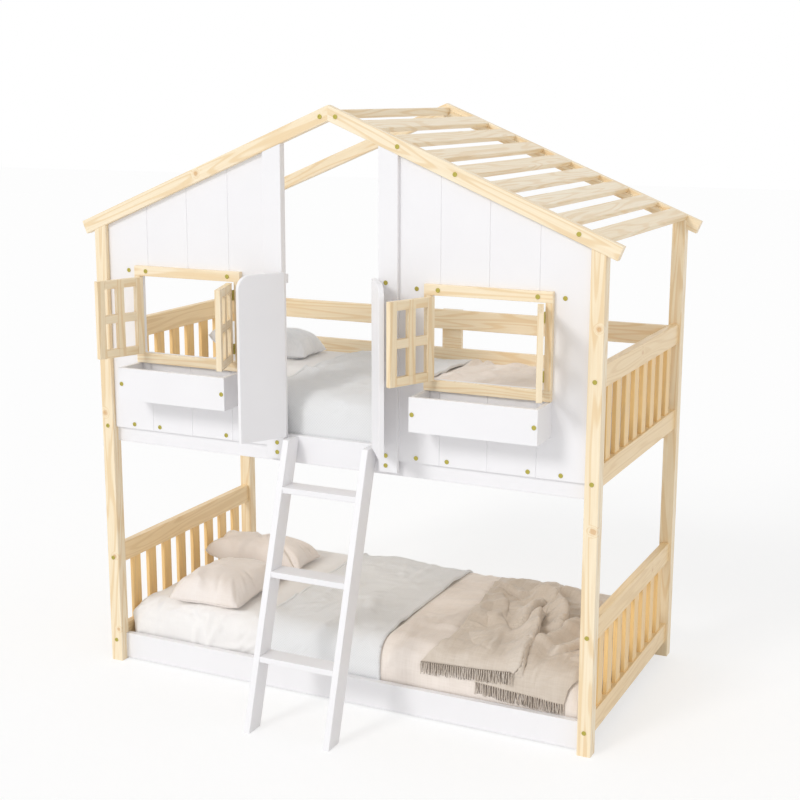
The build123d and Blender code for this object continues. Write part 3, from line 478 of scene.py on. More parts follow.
class HouseBedSettings(PropertyGroup):
    """sizes and colours of the bed's finishes and bedding"""

    pine_pale: FloatVectorProperty(
        name="Pine Pale", description="Colour of the early wood in the lightest boards",
        default=linear("#FCF1DA"), subtype="COLOR", min=0, max=1)
    pine_warm: FloatVectorProperty(
        name="Pine Warm", description="Colour of the early wood in the warmest boards",
        default=linear("#F6E0B8"), subtype="COLOR", min=0, max=1)
    pine_ring: FloatVectorProperty(
        name="Pine Ring", description="Colour of the late wood, seen as thin rings",
        default=linear("#E6C48E"), subtype="COLOR", min=0, max=1)
    pine_knot: FloatVectorProperty(
        name="Pine Knot", description="Colour of the middle of a knot",
        default=linear("#D09A58"), subtype="COLOR", min=0, max=1)
    # painted shade: the deeper, warmer pine colour that the end panels are pulled towards because they stand
    # in shade
    pine_painted_shade_warm: FloatVectorProperty(
        name="Pine Heart", description="Colour of the heart wood, which the end panels have most of",
        default=linear("#F7CF8A"), subtype="COLOR", min=0, max=1)
    ring_count: FloatProperty(
        name="Ring Count", description="Rings across the full swing of the grain field",
        default=9.0, min=1, max=40)
    paint: FloatVectorProperty(
        name="Paint", description="Colour of the white lacquer",
        default=linear("#F5F4F6"), subtype="COLOR", min=0, max=1)
    paint_shade: FloatVectorProperty(
        name="Paint Shade", description="Colour of the white lacquer where the board shows through a little",
        default=linear("#F0EFF1"), subtype="COLOR", min=0, max=1)
    brass: FloatVectorProperty(
        name="Brass", description="Colour of the brass plate",
        default=linear("#D3C66A"), subtype="COLOR", min=0, max=1)
    brass_dark: FloatVectorProperty(
        name="Brass Dark", description="Colour of the brass plate in its scuffs",
        default=linear("#A8A052"), subtype="COLOR", min=0, max=1)
    sheet_white: FloatVectorProperty(
        name="Sheet White", description="Colour of the fitted cotton sheets",
        default=linear("#FAF8F6"), subtype="COLOR", min=0, max=1)
    quilt_white: FloatVectorProperty(
        name="Quilt White", description="Colour of the waffle quilts",
        default=linear("#FAFBFC"), subtype="COLOR", min=0, max=1)
    cover_taupe: FloatVectorProperty(
        name="Cover Taupe", description="Colour of the linen covers",
        default=linear("#FBF2EA"), subtype="COLOR", min=0, max=1)
    throw_taupe: FloatVectorProperty(
        name="Throw Taupe", description="Colour of the fringed throw",
        default=linear("#E1D6CA"), subtype="COLOR", min=0, max=1)
    cushion_beige: FloatVectorProperty(
        name="Cushion Beige", description="Colour of the lower cushions",
        default=linear("#F9F2ED"), subtype="COLOR", min=0, max=1)
    cushion_grey: FloatVectorProperty(
        name="Cushion Grey", description="Colour of the upper cushion",
        default=linear("#F9FAFC"), subtype="COLOR", min=0, max=1)
    waffle_cell: FloatProperty(
        name="Waffle Cell", description="Spacing of the quilt's raised lattice",
        default=11 * MM, min=4 * MM, max=40 * MM, unit="LENGTH")
    fringe_taupe: FloatVectorProperty(
        name="Fringe Taupe", description="Colour of the throw's twisted fringe",
        default=linear("#E3D9CE"), subtype="COLOR", min=0, max=1)
    # painted shadow: the colour of the thin strands set back in the fringe, which stands in for the shade in
    # the gaps between the pale strands
    fringe_painted_shadow: FloatVectorProperty(
        name="Fringe Shade", description="Colour of the fringe's strands that lie behind",
        default=linear("#8C7C6D"), subtype="COLOR", min=0, max=1)
    fringe_length: FloatProperty(
        name="Fringe Length", description="Length of the fringe's strands",
        default=44 * MM, min=10 * MM, max=120 * MM, unit="LENGTH")
    fringe_count: IntProperty(
        name="Fringe Count", description="Number of strands along both hems of the throw",
        default=156, min=20, max=300)


# Finishes of the frame nodes


class HOUSEBED_OT_timber(Operator):
    """Finish every pine board with lacquered grain that runs along it"""

    bl_idname = "house_bed.timber"
    bl_label = "Pine Timber"

    def execute(self, context):
        settings = context.scene.house_bed
        slope = radians(ROOF_PITCH)
        along_x = pine("lacquered_pine_along", settings)
        along_y = pine("lacquered_pine_across", settings, along="Y")
        along_z = pine("lacquered_pine_upright", settings, along="Z")
        # the end panels' pine is warmed and deepened as painted shade, since the panels stand in shade
        panel_rails = pine("lacquered_pine_panel_rails", settings, along="Y", shade_warmth=0.5)
        panel_slats = pine("lacquered_pine_panel_slats", settings, along="Z", shade_warmth=0.95)
        sloping = {
            "left": pine("lacquered_pine_left_slope", settings, rotation=(0, slope, 0)),
            "right": pine("lacquered_pine_right_slope", settings, rotation=(0, -slope, 0)),
        }
        for node_name in ("lower_back_rail", "upper_back_rail", "bed_slat_ledgers", "back_guard_rails"):
            dress(node_name, along_x)
        for node_name in ("ridge_batten", "roof_slats", "lower_bed_slats", "upper_bed_slats"):
            dress(node_name, along_y)
        dress("roof_slat_ledgers", sloping["right"])
        for side in SIDES:
            for face in ("front", "back"):
                dress(f"post_{face}_{side}", along_z)
                dress(f"rafter_{face}_{side}", sloping[side])
            for level in LEVELS:
                dress(f"{level}_{side}_panel_rails", panel_rails)
                dress(f"{level}_{side}_panel_slats", panel_slats)
        low, high = box_mm("window_frame_left")
        stiles = ((low[2] + high[2]) / 2, (high[2] - low[2]) / 2 - WINDOW_TRIM)
        framed = pine("lacquered_pine_window", settings, upright=stiles)
        for side in SIDES:
            dress(f"window_frame_{side}", framed)
        for leaf in LEAVES:
            hinge = HINGES[leaf]
            pin = [c / MM for c in hinge["pos_m"]]
            # the leaf's own X runs away from its pin, and the leaf stands open by its range's lower end
            hand = 1 if hinge["axis"][2] < 0 else -1
            turn = radians(-hinge["range_deg"][0] * hand)
            dress(leaf, pine(f"lacquered_pine_{leaf}", settings, rotation=(0, 0, turn), pin=pin,
                             along="Z", level=(hand * LEAF_MIDDLE, *LEAF_RAILS)))
        return {"FINISHED"}


class HOUSEBED_OT_paintwork(Operator):
    """Finish the plank front, doors, boxes, rails and ladder in white lacquer"""

    bl_idname = "house_bed.paintwork"
    bl_label = "White Paintwork"

    def execute(self, context):
        paint = satin_paint(context.scene.house_bed)
        painted = ["lower_front_rail", "upper_front_rail", "door_jambs", "wall_cleats", "ladder_stringers",
                   "ladder_steps", *DOORS]
        for side in SIDES:
            painted += [f"wall_planks_{side}", f"flower_box_{side}"]
        for node_name in painted:
            dress(node_name, paint)
        return {"FINISHED"}


class HOUSEBED_OT_metalwork(Operator):
    """Finish the bolt heads and hinges in brass plate"""

    bl_idname = "house_bed.metalwork"
    bl_label = "Brass Fittings"

    def execute(self, context):
        brass = satin_brass(context.scene.house_bed)
        for node_name in ("bolt_heads", "hinge_fixed_halves"):
            dress(node_name, brass)
        for leaf in (*LEAVES, *DOORS):
            dress(f"{leaf}_hinge_halves", brass)
        return {"FINISHED"}


# Bedding

# how far the rounding of a mattress reaches in, in mm: at its head end, foot end and sides, down from
# its top and up from its underside, and the power of its rounded corners seen from above
HEAD_END_ROUND, FOOT_END_ROUND, SIDE_ROUND = 140.0, 44.0, 86.0
RIM_HEIGHT, UNDER_ROUND, CORNER_POWER = 80.0, 20.0, 8
# x in mm up to which the quilts leave the mattresses bare, and how far down behind a rail cloth reaches
BARE_END, BEHIND_RAIL = -330.0, 10.0


def foot_end_drop(x, end_x):
    """how far the rounded foot end of a mattress lies below its top at each x, in mm"""
    share = np.clip((x - end_x + FOOT_END_ROUND) / FOOT_END_ROUND, 0, 0.82)
    return RIM_HEIGHT * (1 - np.sqrt(1 - share**2))


def mattress_slack(x, s, seed):
    """slack of a fitted sheet: long soft pulls, and short puckers down the sides"""
    pulls = random_folds(x, s, seed, 46, (-930, -200), (-100, 1350), 4.0, 20, lean=0.5)
    puckers = random_folds(x, s, seed + 1, 70, (-930, -250), (20, 240), 8.0, 11, lean=1.3)
    return np.clip(pulls + puckers, -6, 7)


def rounded_pad(points, low, high):
    """the points of a mattress's box drawn in to its rounded rims and corners"""
    centre, half = (low + high) / 2, (high - low) / 2
    offset = points - centre
    reach = np.full_like(offset, SIDE_ROUND)
    reach[:, 0] = np.where(offset[:, 0] < 0, HEAD_END_ROUND, FOOT_END_ROUND)
    reach[:, 2] = np.where(offset[:, 2] > 0, RIM_HEIGHT, UNDER_ROUND)
    inner = np.clip(offset, reach - half, half - reach)
    share = (offset - inner) / reach
    plan = (np.abs(share[:, :2]) ** CORNER_POWER).sum(axis=1) ** (1 / CORNER_POWER)
    norm = np.maximum(np.hypot(plan, share[:, 2]), 1)
    return centre + inner + share / norm[:, None] * reach


class HOUSEBED_OT_mattresses(Operator):
    """Lay both mattresses in their fitted cotton sheets"""

    bl_idname = "house_bed.mattresses"
    bl_label = "Mattresses"

    def execute(self, context):
        settings = context.scene.house_bed
        cotton = woven("white_cotton_sheet", settings.sheet_white, linear("#F1EEEC"), 2.4, 0.1, 0.2)
        for seed, level in enumerate(LEVELS):
            node_name = f"{level}_mattress"
            low, high = box_mm(node_name)
            size, centre = high - low, (high + low) / 2
            shape = bmesh.new()
            bmesh.ops.create_cube(shape, size=1)
            for vertex in shape.verts:
                vertex.co = Vector((np.array(vertex.co) * (size - 2) + centre) * MM)
            mesh = bpy.data.meshes.new(f"{level}_mattress_in_sheet")
            shape.to_mesh(mesh)
            shape.free()
            mesh.materials.append(cotton)
            piece = bpy.data.objects.new(f"{level}_mattress_in_sheet", mesh)
            context.scene.collection.objects.link(piece)
            remesh = piece.modifiers.new("even_quads", "REMESH")
            remesh.mode = "VOXEL"
            remesh.voxel_size = 9 * MM
            remesh.use_smooth_shade = True
            applied(piece)
            mesh = piece.data
            points = np.empty(len(mesh.vertices) * 3)
            mesh.vertices.foreach_get("co", points)
            points = rounded_pad(points.reshape(-1, 3) / MM, low, high)
            set_points(mesh, points)
            normals = np.array([v.normal for v in mesh.vertices])
            x, y, z = points.T
            along = (y - low[1]) + (z - low[2])
            # only the end that the quilt leaves bare swells and creases
            bare = np.clip((BARE_END - x) / 60, 0, 1)
            side = 1 - np.abs(normals[:, 2])
            swell = 7 * side * np.sin(pi * np.clip((z - low[2]) / size[2], 0, 1))
            crown = 7 * (1 - side) * (z > centre[2])
            points += normals * (bare * (mattress_slack(x, along, 11 + 7 * seed) + swell + crown))[:, None]
            set_points(mesh, points)
            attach(piece, "bed")
            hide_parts(node_name)
        return {"FINISHED"}


def bed_level(level):
    """y of the mattress's front and back, its top z and the rail's top z, in mm"""
    low, high = box_mm(f"{level}_mattress")
    rail_top = box_mm(f"{level}_front_rail")[1][2]
    return low[1], high[1], high[2], rail_top


class HOUSEBED_OT_quilts(Operator):
    """Spread a waffle quilt over the middle of each bunk, tucked in behind the rails"""

    bl_idname = "house_bed.quilts"
    bl_label = "Waffle Quilts"

    def execute(self, context):
        settings = context.scene.house_bed
        # the quilt's second colour is mostly painted shade in the waffle's grooves, with a little random tone
        waffle = woven("white_waffle_cotton", settings.quilt_white, linear("#E9E7E5"), 3.0, 0.08, 0.3,
                       waffle=settings.waffle_cell / MM)
        for seed, level in enumerate(LEVELS):
            front_y, back_y, top_z, rail_top = bed_level(level)
            low, high = box_mm(f"{level}_quilt")
            hem_z = rail_top - BEHIND_RAIL
            path = across_path(front_y - 7, back_y + 7, hem_z, hem_z, top_z + 8, corner=76, crown=8, step=6)
            x_line = np.linspace(low[0] + 1, high[0] - 1, 110)
            end = path[4][-1]

            def lift(x, s):
                soft = random_folds(x, s, 31 + 5 * seed, 80, (-380, 180), (90, end - 60), 9.0, 36, lean=0.9)
                small = random_folds(x, s, 32 + 5 * seed, 110, (-380, 180), (20, end - 20), 4.0, 13, lean=0.6)
                hem = np.clip(np.minimum(s, end - s) / 90 - 0.25, 0, 1)
                # the right edge rides up on the cover, and the left edge is soft and full
                edges = 5 * bell(x - x_line[-1], 26) + 4 * bell(x - x_line[0], 30)
                return np.clip((soft + small) * hem, -1.0, 17) + edges * np.clip(s / 60, 0.3, 1)

            points, faces = laid_cloth(x_line, path, lift)
            # the left edge runs slantwise and waves, as a quilt turned down by hand
            share = np.clip((points[:, :, 1] - front_y) / (back_y - front_y), 0, 1)
            left = np.clip((100 - x_line)[:, None] / 460, 0, 1)
            points[:, :, 0] += left * (28 + 6 * np.sin(share * 7) + 4 * np.sin(share * 31))
            piece = new_piece(f"{level}_waffle_quilt", points.reshape(-1, 3), faces, waffle, "waffle_quilt")
            thicken(piece, 8, 0)
            hems = [tube(edge[1:-1], 7.5, sides=12) for edge in (points[0], points[-1])]
            hem = new_piece(f"{level}_quilt_hems", *joined(hems), waffle, "waffle_quilt")
            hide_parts(f"{level}_quilt")
        return {"FINISHED"}


class HOUSEBED_OT_covers(Operator):
    """Spread a taupe linen cover over the foot of each bunk"""

    bl_idname = "house_bed.covers"
    bl_label = "Linen Covers"

    def execute(self, context):
        settings = context.scene.house_bed
        linen = woven("washed_taupe_linen", settings.cover_taupe, linear("#EDE2D8"), 2.6, 0.25, 0.25)
        for seed, level in enumerate(LEVELS):
            front_y, back_y, top_z, rail_top = bed_level(level)
            low, high = box_mm(f"{level}_cover")
            end_x = box_mm(f"{level}_mattress")[1][0]
            hem_z = rail_top - BEHIND_RAIL
            path = across_path(front_y - 3, back_y + 3, hem_z, hem_z, top_z + 3, corner=74, crown=7, step=8)
            # the first 20 mm lie under the quilt's hem
            x_line = np.linspace(low[0] - 20, high[0] - 1, 120)
            end = path[4][-1]

            def lift(x, s):
                soft = random_folds(x, s, 51 + 5 * seed, 90, (150, 930), (70, end - 60), 17, 26, lean=0.9)
                small = random_folds(x, s, 52 + 5 * seed, 130, (150, 930), (20, end - 20), 6, 11, lean=1.0)
                hem = np.clip(np.minimum(s, end - s) / 90 - 0.2, 0, 1)
                under_throw = np.clip((x - 360) / 40, 0, 1) if level == "lower" else 0
                under_quilt = np.clip((low[0] + 14 - x) / 14, 0, 1)
                folds = np.clip((soft + small + 4) * hem, 0, 22)
                folds = folds * (1 - 0.87 * under_throw) * (1 - under_quilt)
                return folds - foot_end_drop(x, end_x) * hem

            points, faces = laid_cloth(x_line, path, lift)
            piece = new_piece(f"{level}_linen_cover", points.reshape(-1, 3), faces, linen, "taupe_linen")
            thicken(piece, 2.4, 1)
            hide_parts(f"{level}_cover")
        return {"FINISHED"}


# the throw's tall folds: the line of each crest over the bed in mm, then its height, the widths of its
# left and right slopes, and how far it leans to the right
THROW_FOLDS = (
    (((704, -300), (692, -192), (688, -109), (668, -28), (638, 48), (625, 122), (632, 190)), 52, 38, 22, 17),
    (((600, 6), (581, 101), (579, 183), (590, 249), (620, 286)), 44, 26, 22, 10),
    (((738, -30), (740, 28), (722, 121), (676, 240), (611, 322), (545, 372), (505, 400)), 60, 46, 27, 20),
    (((800, 190), (796, 91), (790, 3), (770, -69), (742, -125), (724, -190), (714, -250)), 48, 30, 22, 16),
    (((784, 400), (796, 300), (812, 217), (826, 150)), 42, 30, 20, 8),
    (((770, -160), (810, -134), (850, -79), (880, 10)), 36, 34, 20, 10),
    (((360, 430), (420, 384), (480, 340), (530, 300)), 26, 32, 20, 8),
    (((720, 480), (600, 505), (470, 500), (370, 480)), 12, 40, 50, 0),
    (((400, 210), (420, 60), (436, -80)), 12, 40, 40, 0),
    (((470, -60), (520, -150), (610, -190)), 10, 46, 40, 0),
    (((500, 60), (450, 220), (380, 330)), 16, 36, 26, 3),
    (((570, -60), (500, 40), (430, 120)), 12, 34, 30, 3),
)
# columns and rows of each layer of the throw, and the seed of its creases
THROW_COLUMNS, THROW_ROWS, THROW_SEED = 150, 220, 71


def throw_layer(path, hem, left, right, back_depth, end_x, base):
    """points of one layer of the throw, column by column from its hem to its back end. hem, left and
    right give the layer's borders as (x, depth) points, depth running on from the bed's top down its
    front side"""
    y, z, normal_y, normal_z, s = path
    middle = len(s) // 2
    u, v = np.meshgrid(np.linspace(0, 1, THROW_COLUMNS), np.linspace(0, 1, THROW_ROWS), indexing="ij")
    hem, left, right = (np.array(line, float) for line in (hem, left, right))
    x_hem = hem[0, 0] + (hem[-1, 0] - hem[0, 0]) * u
    start = np.interp(x_hem, hem[:, 0], hem[:, 1])
    depth = start + (back_depth - start) * v
    x_left, x_right = (np.interp(depth, line[:, 1], line[:, 0]) for line in (left, right))
    x = x_left + (x_right - x_left) * u
    soft = random_folds(x, depth, THROW_SEED, 90, (320, 940), (-300, 560), 12, 27, lean=1.2)
    small = random_folds(x, depth, THROW_SEED + 1, 200, (320, 940), (-370, 560), 5, 11, lean=1.0)
    height = np.zeros_like(x)
    shift_x, shift_y = np.zeros_like(x), np.zeros_like(x)
    for line, *shape in THROW_FOLDS:
        fold, lean_x, lean_y = fold_along(x, depth, line, *shape)
        height = np.maximum(height, fold)
        shift_x += lean_x
        shift_y += lean_y
    # the hem lies close, and the ends of the folds run out towards it
    close = np.clip((depth - start) / 70, 0, 1)
    height = base + height + np.clip(soft + small, -2, 17) * (0.25 + 0.75 * close)
    height -= foot_end_drop(x, end_x) * close
    run = np.clip(depth + shift_y - y[middle] + s[middle], 0, s[-1])
    at_y, at_z = np.interp(run, s, y), np.interp(run, s, z)
    out_y, out_z = np.interp(run, s, normal_y), np.interp(run, s, normal_z)
    return np.stack([x + shift_x, at_y + height * out_y, at_z + height * out_z], axis=-1)


def fringe_strands(hem, count, length, draw, floor_z):
    """twisted strands that hang from a hem's line of points: pale ones in front, and thinner dark ones
    set back between them, whose dark colour is painted shadow for the shaded gaps between strands"""
    strands = ([], [])
    steps = np.linspace(0, 1, 8)[:, None]
    for k in range(count):
        behind = k % 2
        place = (k + 0.5 + draw.uniform(-0.15, 0.15)) / count * (len(hem) - 1)
        i = int(place)
        root = hem[i] * (1 - place + i) + hem[min(i + 1, len(hem) - 1)] * (place - i)
        sway, curl = draw.normal(0, 2.6), draw.normal(0, 1.2)
        reach = length * draw.uniform(0.86, 1.1)
        strand = root + [0, 0.4 * behind - 2.2, 2.0] + np.array([sway, -1.0, -reach]) * steps
        strand[:, 0] += curl * np.sin(steps[:, 0] * 5)
        strand[:, 2] = np.maximum(strand[:, 2], floor_z)
        beads = 1 + 0.12 * np.sin(steps[:, 0] * 26 + k)
        # the thinner strands set back take the painted shadow colour
        radius = 1.7 if behind else 2.3
        strands[behind].append(tube(strand, radius * (1 - 0.25 * steps[:, 0]) * beads))
    return strands


class HOUSEBED_OT_throw(Operator):
    """Drop a crumpled throw with a fringe over the lower cover, folded back on itself in two layers"""

    bl_idname = "house_bed.throw"
    bl_label = "Fringed Throw"

    def execute(self, context):
        settings = context.scene.house_bed
        wool = woven("taupe_throw_wool", settings.throw_taupe, linear("#CFC2B3"), 3.2, 0.3, 0.35)
        pale = woven("twisted_wool_fringe", settings.fringe_taupe, linear("#C2B4A5"), 2.0, 0.3, 0.3)
        # painted shadow: the dark wool of the fringe's inner strands stands in for the shade between the pale
        # strands
        dark = woven("twisted_wool_fringe_painted_shadow", settings.fringe_painted_shadow, linear("#75675A"), 2.0, 0.3, 0.3)
        front_y, back_y, top_z, rail_top = bed_level("lower")
        end_x = box_mm("lower_mattress")[1][0]
        path = across_path(front_y - 8, back_y - 20, rail_top - 8, top_z - 20, top_z + 9,
                           corner=76, crown=8, step=4)
        y, z, _, _, s = path
        shoulder = s[len(s) // 2] - y[len(s) // 2]

        def side(height):
            """the depth of a height on the front side or its rounded shoulder"""
            return float(np.interp(height, z[: len(z) // 3], s[: len(s) // 3]) - shoulder)

        lower = throw_layer(
            path, hem=((560, side(168)), (677, side(159)), (884, side(146))),
            left=((548, side(146)), (520, 0), (440, 600)),
            right=((880, side(146)), (896, side(203)), (926, side(239)), (932, -150), (922, 560)),
            back_depth=565, end_x=end_x, base=0)
        upper = throw_layer(
            path, hem=((335, side(207)), (556, side(214)), (680, side(222))),
            left=((335, side(207)), (386, side(249)), (398, -100), (404, -41), (330, 450), (320, 600)),
            right=((676, side(207)), (686, side(222)), (706, -262), (700, -190), (697, -109), (684, -28),
                   (650, 48), (636, 122), (640, 250), (618, 400), (590, 560)),
            back_depth=545, end_x=end_x, base=8)
        # the upper layer's right edge turns down to the layer below
        turned = np.clip((np.linspace(0, 1, THROW_COLUMNS) - 0.97) / 0.03, 0, 1)[:, None] ** 2
        upper[:, :, 2] -= 9 * turned
        layers = [(layer.reshape(-1, 3), grid_faces(THROW_COLUMNS, THROW_ROWS)) for layer in (lower, upper)]
        piece = new_piece("fringed_throw", *joined(layers), wool, "taupe_linen")
        thicken(piece, 3.0, 1)
        draw = np.random.RandomState(5)
        length = settings.fringe_length / MM
        fringes = ([], [])
        # the upper fringe hangs in front of the lower layer's swell
        for hem, share in ((lower[:, 0], 0.47), (upper[:, 0] + [0, -5, 0], 0.53)):
            count = round(settings.fringe_count * share)
            for held, new in zip(fringes, fringe_strands(hem, count, length, draw, rail_top + 3)):
                held += new
        names = ("throw_fringe", "throw_fringe_painted_shadow")
        fringe = [new_piece(name, *joined(strands), material, "taupe_linen")
                  for name, strands, material in zip(names, fringes, (pale, dark))]
        return {"FINISHED"}


# each cushion's slot, its length, width and thickness in mm, its turn in degrees, how far its left end
# curls up and over what share of its length, how many creases it has and how deep, how much lower its
# right end lies, and the seed of the creases
CUSHIONS = {
    "lower_front": ("cushion_linen", (490, 340, 130), 93.5, (0, 1), 30, 9, 0.42, 3),
    "lower_back": ("cushion_linen", (490, 240, 112), 1.5, (30, 0.25), 52, 17, 0.0, 8),
    "upper": ("grey_linen", (490, 240, 112), 2.0, (66, 0.3), 52, 15, 0.0, 15),
}
# how much of a cushion's thickness lies above its seam and below, and how far in mm its cloth may swell
ABOVE_SEAM, BELOW_SEAM, SWELL = 0.82, 0.18, 7.0


def cushion_mesh(length, width, thickness, bend, creases, depth, fall, seed):
    """points, faces and border of a cushion lying on z 0: two panels sewn at their edges, crowned in
    the middle and drawn in between the corners. bend is how far its left end curls up, and over what
    share of its length, depth is how deep its creases are in mm, and fall is how much lower its right
    end lies than its left"""
    columns, rows = 71, 51
    u, v = np.meshgrid(np.linspace(-1, 1, columns), np.linspace(-1, 1, rows), indexing="ij")
    pull = 0.085
    x = u * length / 2 * (1 - pull * (1 - v**2) * np.abs(u) ** 3)
    y = v * width / 2 * (1 - pull * (1 - u**2) * np.abs(v) ** 3)
    # rounded corners
    corner = np.maximum(np.abs(u), np.abs(v))
    corner /= np.maximum((np.abs(u) ** 10 + np.abs(v) ** 10) ** 0.1, 1e-6)
    x, y = x * corner, y * corner
    dome = ((1 - np.abs(u) ** 3.4) * (1 - np.abs(v) ** 3)).clip(0) ** 0.52 * (1 - fall * (0.5 + 0.5 * u))
    draw = np.random.RandomState(seed)
    crease = np.zeros_like(x)
    for _ in range(creases):
        # creases run in from the corners and edges
        angle = draw.uniform(0, 2 * pi)
        foot = np.array([np.sign(cos(angle)) * min(1, abs(cos(angle)) * 1.3) * length / 2,
                         np.sign(sin(angle)) * min(1, abs(sin(angle)) * 1.3) * width / 2])
        inward = -foot / np.linalg.norm(foot)
        reach = draw.uniform(50, 130)
        along = (x - foot[0]) * inward[0] + (y - foot[1]) * inward[1]
        aside = -(x - foot[0]) * inward[1] + (y - foot[1]) * inward[0]
        spread = draw.uniform(6, 13)
        crease += draw.uniform(-1, 0.8) * depth * bell(aside, spread) * bell(along, reach)
    soft = random_folds(x, y, seed + 1, 22, (-length / 2, length / 2), (-width / 2, width / 2), 6.0, 24)
    full = np.minimum(dome * 3, 1)
    top = thickness * ABOVE_SEAM * dome + (crease + soft) * full
    bottom = -thickness * BELOW_SEAM * dome + 0.2 * crease * full
    middle = (np.abs(u) < 0.999) & (np.abs(v) < 0.999)
    curl = bend[0] * np.clip((-u - 1 + bend[1] * 2) / (bend[1] * 2), 0, 1) ** 2
    top_points = np.stack([x, y, top + curl], axis=-1).reshape(-1, 3)
    keep = np.flatnonzero(middle.ravel())
    low_points = np.stack([x, y, bottom + curl], axis=-1).reshape(-1, 3)[keep]
    index = np.arange(columns * rows)
    low_index = index.copy()
    low_index[keep] = columns * rows + np.arange(len(keep))
    faces = grid_faces(columns, rows)
    faces += [tuple(int(low_index[i]) for i in face[::-1]) for face in grid_faces(columns, rows)]
    number = index.reshape(columns, rows)
    border = list(number[:, 0]) + list(number[-1, 1:]) + list(number[-2::-1, -1]) + list(number[0, -2:0:-1])
    return np.concatenate([top_points, low_points]), faces, [int(i) for i in border]


def inflated(points, faces, cap):
    """the cushion's cloth blown up a little from inside, each point moving no further than cap mm"""
    mesh = bpy.data.meshes.new("cushion_blank")
    mesh.from_pydata([tuple(p) for p in points * MM], [], faces)
    blank = bpy.data.objects.new("cushion_blank", mesh)
    scene = bpy.context.scene
    scene.collection.objects.link(blank)
    cloth = blank.modifiers.new("cloth", "CLOTH")
    cloth.settings.quality = 6
    cloth.settings.mass = 0.2
    cloth.settings.tension_stiffness = 12
    cloth.settings.compression_stiffness = 12
    cloth.settings.bending_stiffness = 0.35
    cloth.settings.use_pressure = True
    cloth.settings.uniform_pressure_force = 4
    cloth.settings.effector_weights.gravity = 0
    frames = 20
    cloth.point_cache.frame_end = frames
    for number in range(1, frames + 1):
        scene.frame_set(number)
    graph = bpy.context.evaluated_depsgraph_get()
    result = blank.evaluated_get(graph).data
    moved = np.array([v.co for v in result.vertices]) / MM
    scene.frame_set(1)
    bpy.data.objects.remove(blank)
    step = moved - points
    far = np.linalg.norm(step, axis=1)[:, None]
    return points + step * np.minimum(1, cap / np.maximum(far, 1e-6))


class HOUSEBED_OT_cushions(Operator):
    """Place two beige cushions on the lower bunk and a grey one on the upper bunk"""

    bl_idname = "house_bed.cushions"
    bl_label = "Cushions"

    def execute(self, context):
        settings = context.scene.house_bed
        beige = woven("beige_linen_cushion", settings.cushion_beige, linear("#EFE5DD"), 2.2, 0.15, 0.25)
        grey = woven("grey_linen_cushion", settings.cushion_grey, linear("#ECEDEF"), 2.2, 0.15, 0.25)
        for name, (slot, (length, width, thickness), turn, *form) in CUSHIONS.items():
            material = beige if slot == "cushion_linen" else grey
            node_name = f"{name}_cushion"
            low, high = box_mm(node_name)
            centre = (low + high) / 2
            # smaller than its space, because it swells
            points, faces, border = cushion_mesh(length - 6, width - 4, thickness * 0.95, *form)
            points = inflated(points, faces, SWELL)
            angle = radians(turn)
            spin = np.array([[cos(angle), -sin(angle), 0], [sin(angle), cos(angle), 0], [0, 0, 1]])
            points = points @ spin.T
            points[:, 2] += low[2] + BELOW_SEAM * thickness
            points[:, 0] += centre[0]
            points[:, 1] += centre[1]
            # flat underneath, where it lies on the sheet
            points[:, 2] = np.maximum(points[:, 2], low[2] + 0.6)
            piece = new_piece(f"{name}_cushion_linen", points, faces, material, slot)
            smooth = piece.modifiers.new("rounding", "SUBSURF")
            smooth.levels = smooth.render_levels = 1
            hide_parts(node_name)
            seam = tube(points[border], 1.7, closed=True)
            new_piece(f"{name}_cushion_seam", *seam, material, slot)
        return {"FINISHED"}


# Studio

# how brightly the floor glows and how much light it scatters where it is seen, and how bright the sky is
# overhead, as shares of white
FLOOR_GLOW, FLOOR_MATT, SKY_OVERHEAD = 0.62, 0.42, 0.55


def seen_rays(tree):
    """1 for rays that show the background: those of the camera, in gloss and through glass"""
    rays = add(tree, "LightPath").outputs
    seen = add(tree, "Math", {0: rays["Is Camera Ray"], 1: rays["Is Glossy Ray"]}, operation="MAXIMUM")
    return add(tree, "Math", {0: seen, 1: rays["Is Transmission Ray"]}, operation="MAXIMUM")


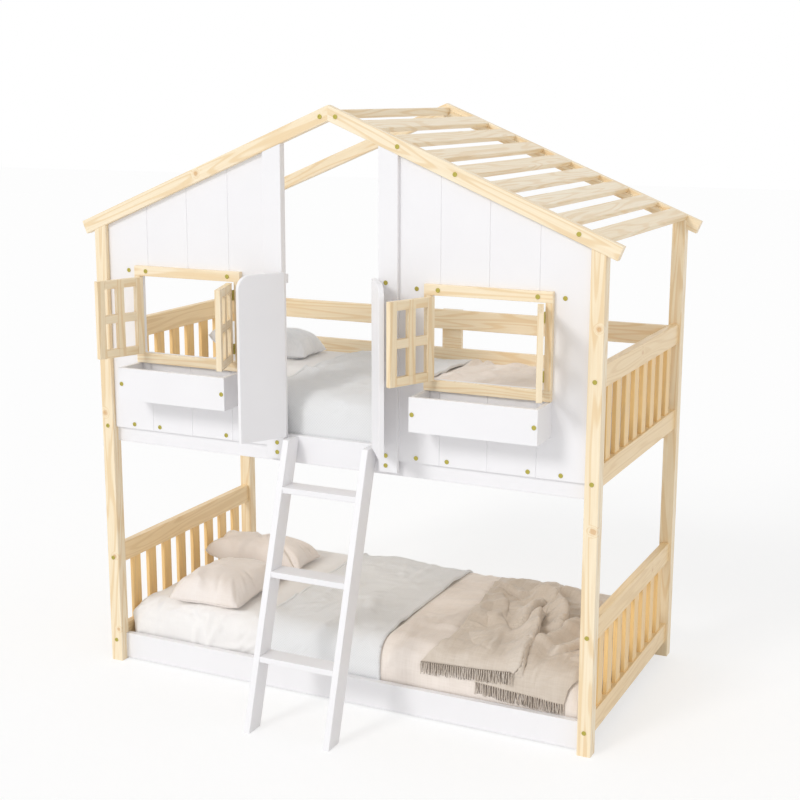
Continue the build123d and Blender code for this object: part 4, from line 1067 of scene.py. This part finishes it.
class HOUSEBED_OT_studio(Operator):
    """Set the pale floor, the soft lights and the camera"""

    bl_idname = "house_bed.studio"
    bl_label = "Plain Studio"

    def execute(self, context):
        scene = context.scene
        material, tree = new_material("pale_studio_floor")
        # white to the eye and in gloss, and plain matt white for the light it throws back
        plain = add(tree, "BsdfPrincipled", {"Base Color": rgba(linear("#F2F2F2")), "Roughness": 0.9})
        glow = add(tree, "Emission", {"Color": (1, 1, 1, 1), "Strength": FLOOR_GLOW})
        matt = add(tree, "BsdfDiffuse", {"Color": rgba([FLOOR_MATT] * 3)})
        bright = add(tree, "AddShader", {0: glow, 1: matt})
        mixed = add(tree, "MixShader", {0: seen_rays(tree), 1: plain, 2: bright})
        add(tree, "OutputMaterial", {"Surface": mixed})
        reach = 30.0
        corners = [(-reach, -reach, 0), (reach, -reach, 0), (reach, reach, 0), (-reach, reach, 0)]
        mesh = bpy.data.meshes.new("studio_floor")
        mesh.from_pydata(corners, [], [(0, 1, 2, 3)])
        mesh.materials.append(material)
        floor = bpy.data.objects.new("studio_floor", mesh)
        scene.collection.objects.link(floor)

        world = bpy.data.worlds.new("studio_light")
        scene.world = world
        tree = new_tree(world)
        # brighter at the horizon than overhead, as between white walls
        height = add(tree, "SeparateXYZ", {"Vector": add(tree, "TexCoord").outputs["Generated"]}).outputs["Z"]
        soft = add(tree, "MapRange", {"Value": height, 3: 1.0, 4: SKY_OVERHEAD})
        strength = add(tree, "Mix", {0: seen_rays(tree), 2: soft, 3: 1.0}, data_type="FLOAT")
        sky = add(tree, "Background", {"Color": (1, 1, 1, 1), "Strength": strength})
        add(tree, "OutputWorld", {"Surface": sky})

        sun = bpy.data.lights.new("soft_key", "SUN")
        sun.energy = 1.0
        sun.angle = radians(16)
        key = bpy.data.objects.new("soft_key", sun)
        key.rotation_euler = Vector((0.30, 0.80, -0.52)).to_track_quat("-Z", "Y").to_euler()
        scene.collection.objects.link(key)

        # viewpoint and lens fitted to the bed's edges as they are seen
        lens = bpy.data.cameras.new("studio_camera")
        lens.sensor_width = 36
        lens.lens = 63.84
        lens.shift_x = 0.0136
        lens.shift_y = -0.00925
        camera = bpy.data.objects.new("studio_camera", lens)
        camera.location = (2.333, -4.696, 2.225)
        camera.rotation_euler = Euler((radians(78.103), radians(-0.046), radians(25.776)))
        scene.collection.objects.link(camera)
        scene.camera = camera
        scene.view_settings.view_transform = "Standard"
        return {"FINISHED"}


class HOUSEBED_PT_sidebar(Panel):
    """List the steps that dress the bunk bed"""

    bl_idname = "HOUSEBED_PT_sidebar"
    bl_label = "Bunk Bed"
    bl_space_type = "VIEW_3D"
    bl_region_type = "UI"
    bl_category = "Bunk Bed"

    def draw(self, context):
        column = self.layout.column(align=True)
        for step in STEPS:
            column.operator(step.bl_idname)
        settings = context.scene.house_bed
        for name in HouseBedSettings.__annotations__:
            self.layout.prop(settings, name)


STEPS = (
    HOUSEBED_OT_studio,
    HOUSEBED_OT_timber,
    HOUSEBED_OT_paintwork,
    HOUSEBED_OT_metalwork,
    HOUSEBED_OT_mattresses,
    HOUSEBED_OT_quilts,
    HOUSEBED_OT_covers,
    HOUSEBED_OT_throw,
    HOUSEBED_OT_cushions,
)
CLASSES = (HouseBedSettings, *STEPS, HOUSEBED_PT_sidebar)


def register():
    for item in CLASSES:
        bpy.utils.register_class(item)
    bpy.types.Scene.house_bed = PointerProperty(type=HouseBedSettings)


def unregister():
    del bpy.types.Scene.house_bed
    for item in reversed(CLASSES):
        bpy.utils.unregister_class(item)


def main():
    register()
    for step in STEPS:
        group, name = step.bl_idname.split(".")
        getattr(getattr(bpy.ops, group), name)()


if __name__ == "__main__":
    main()
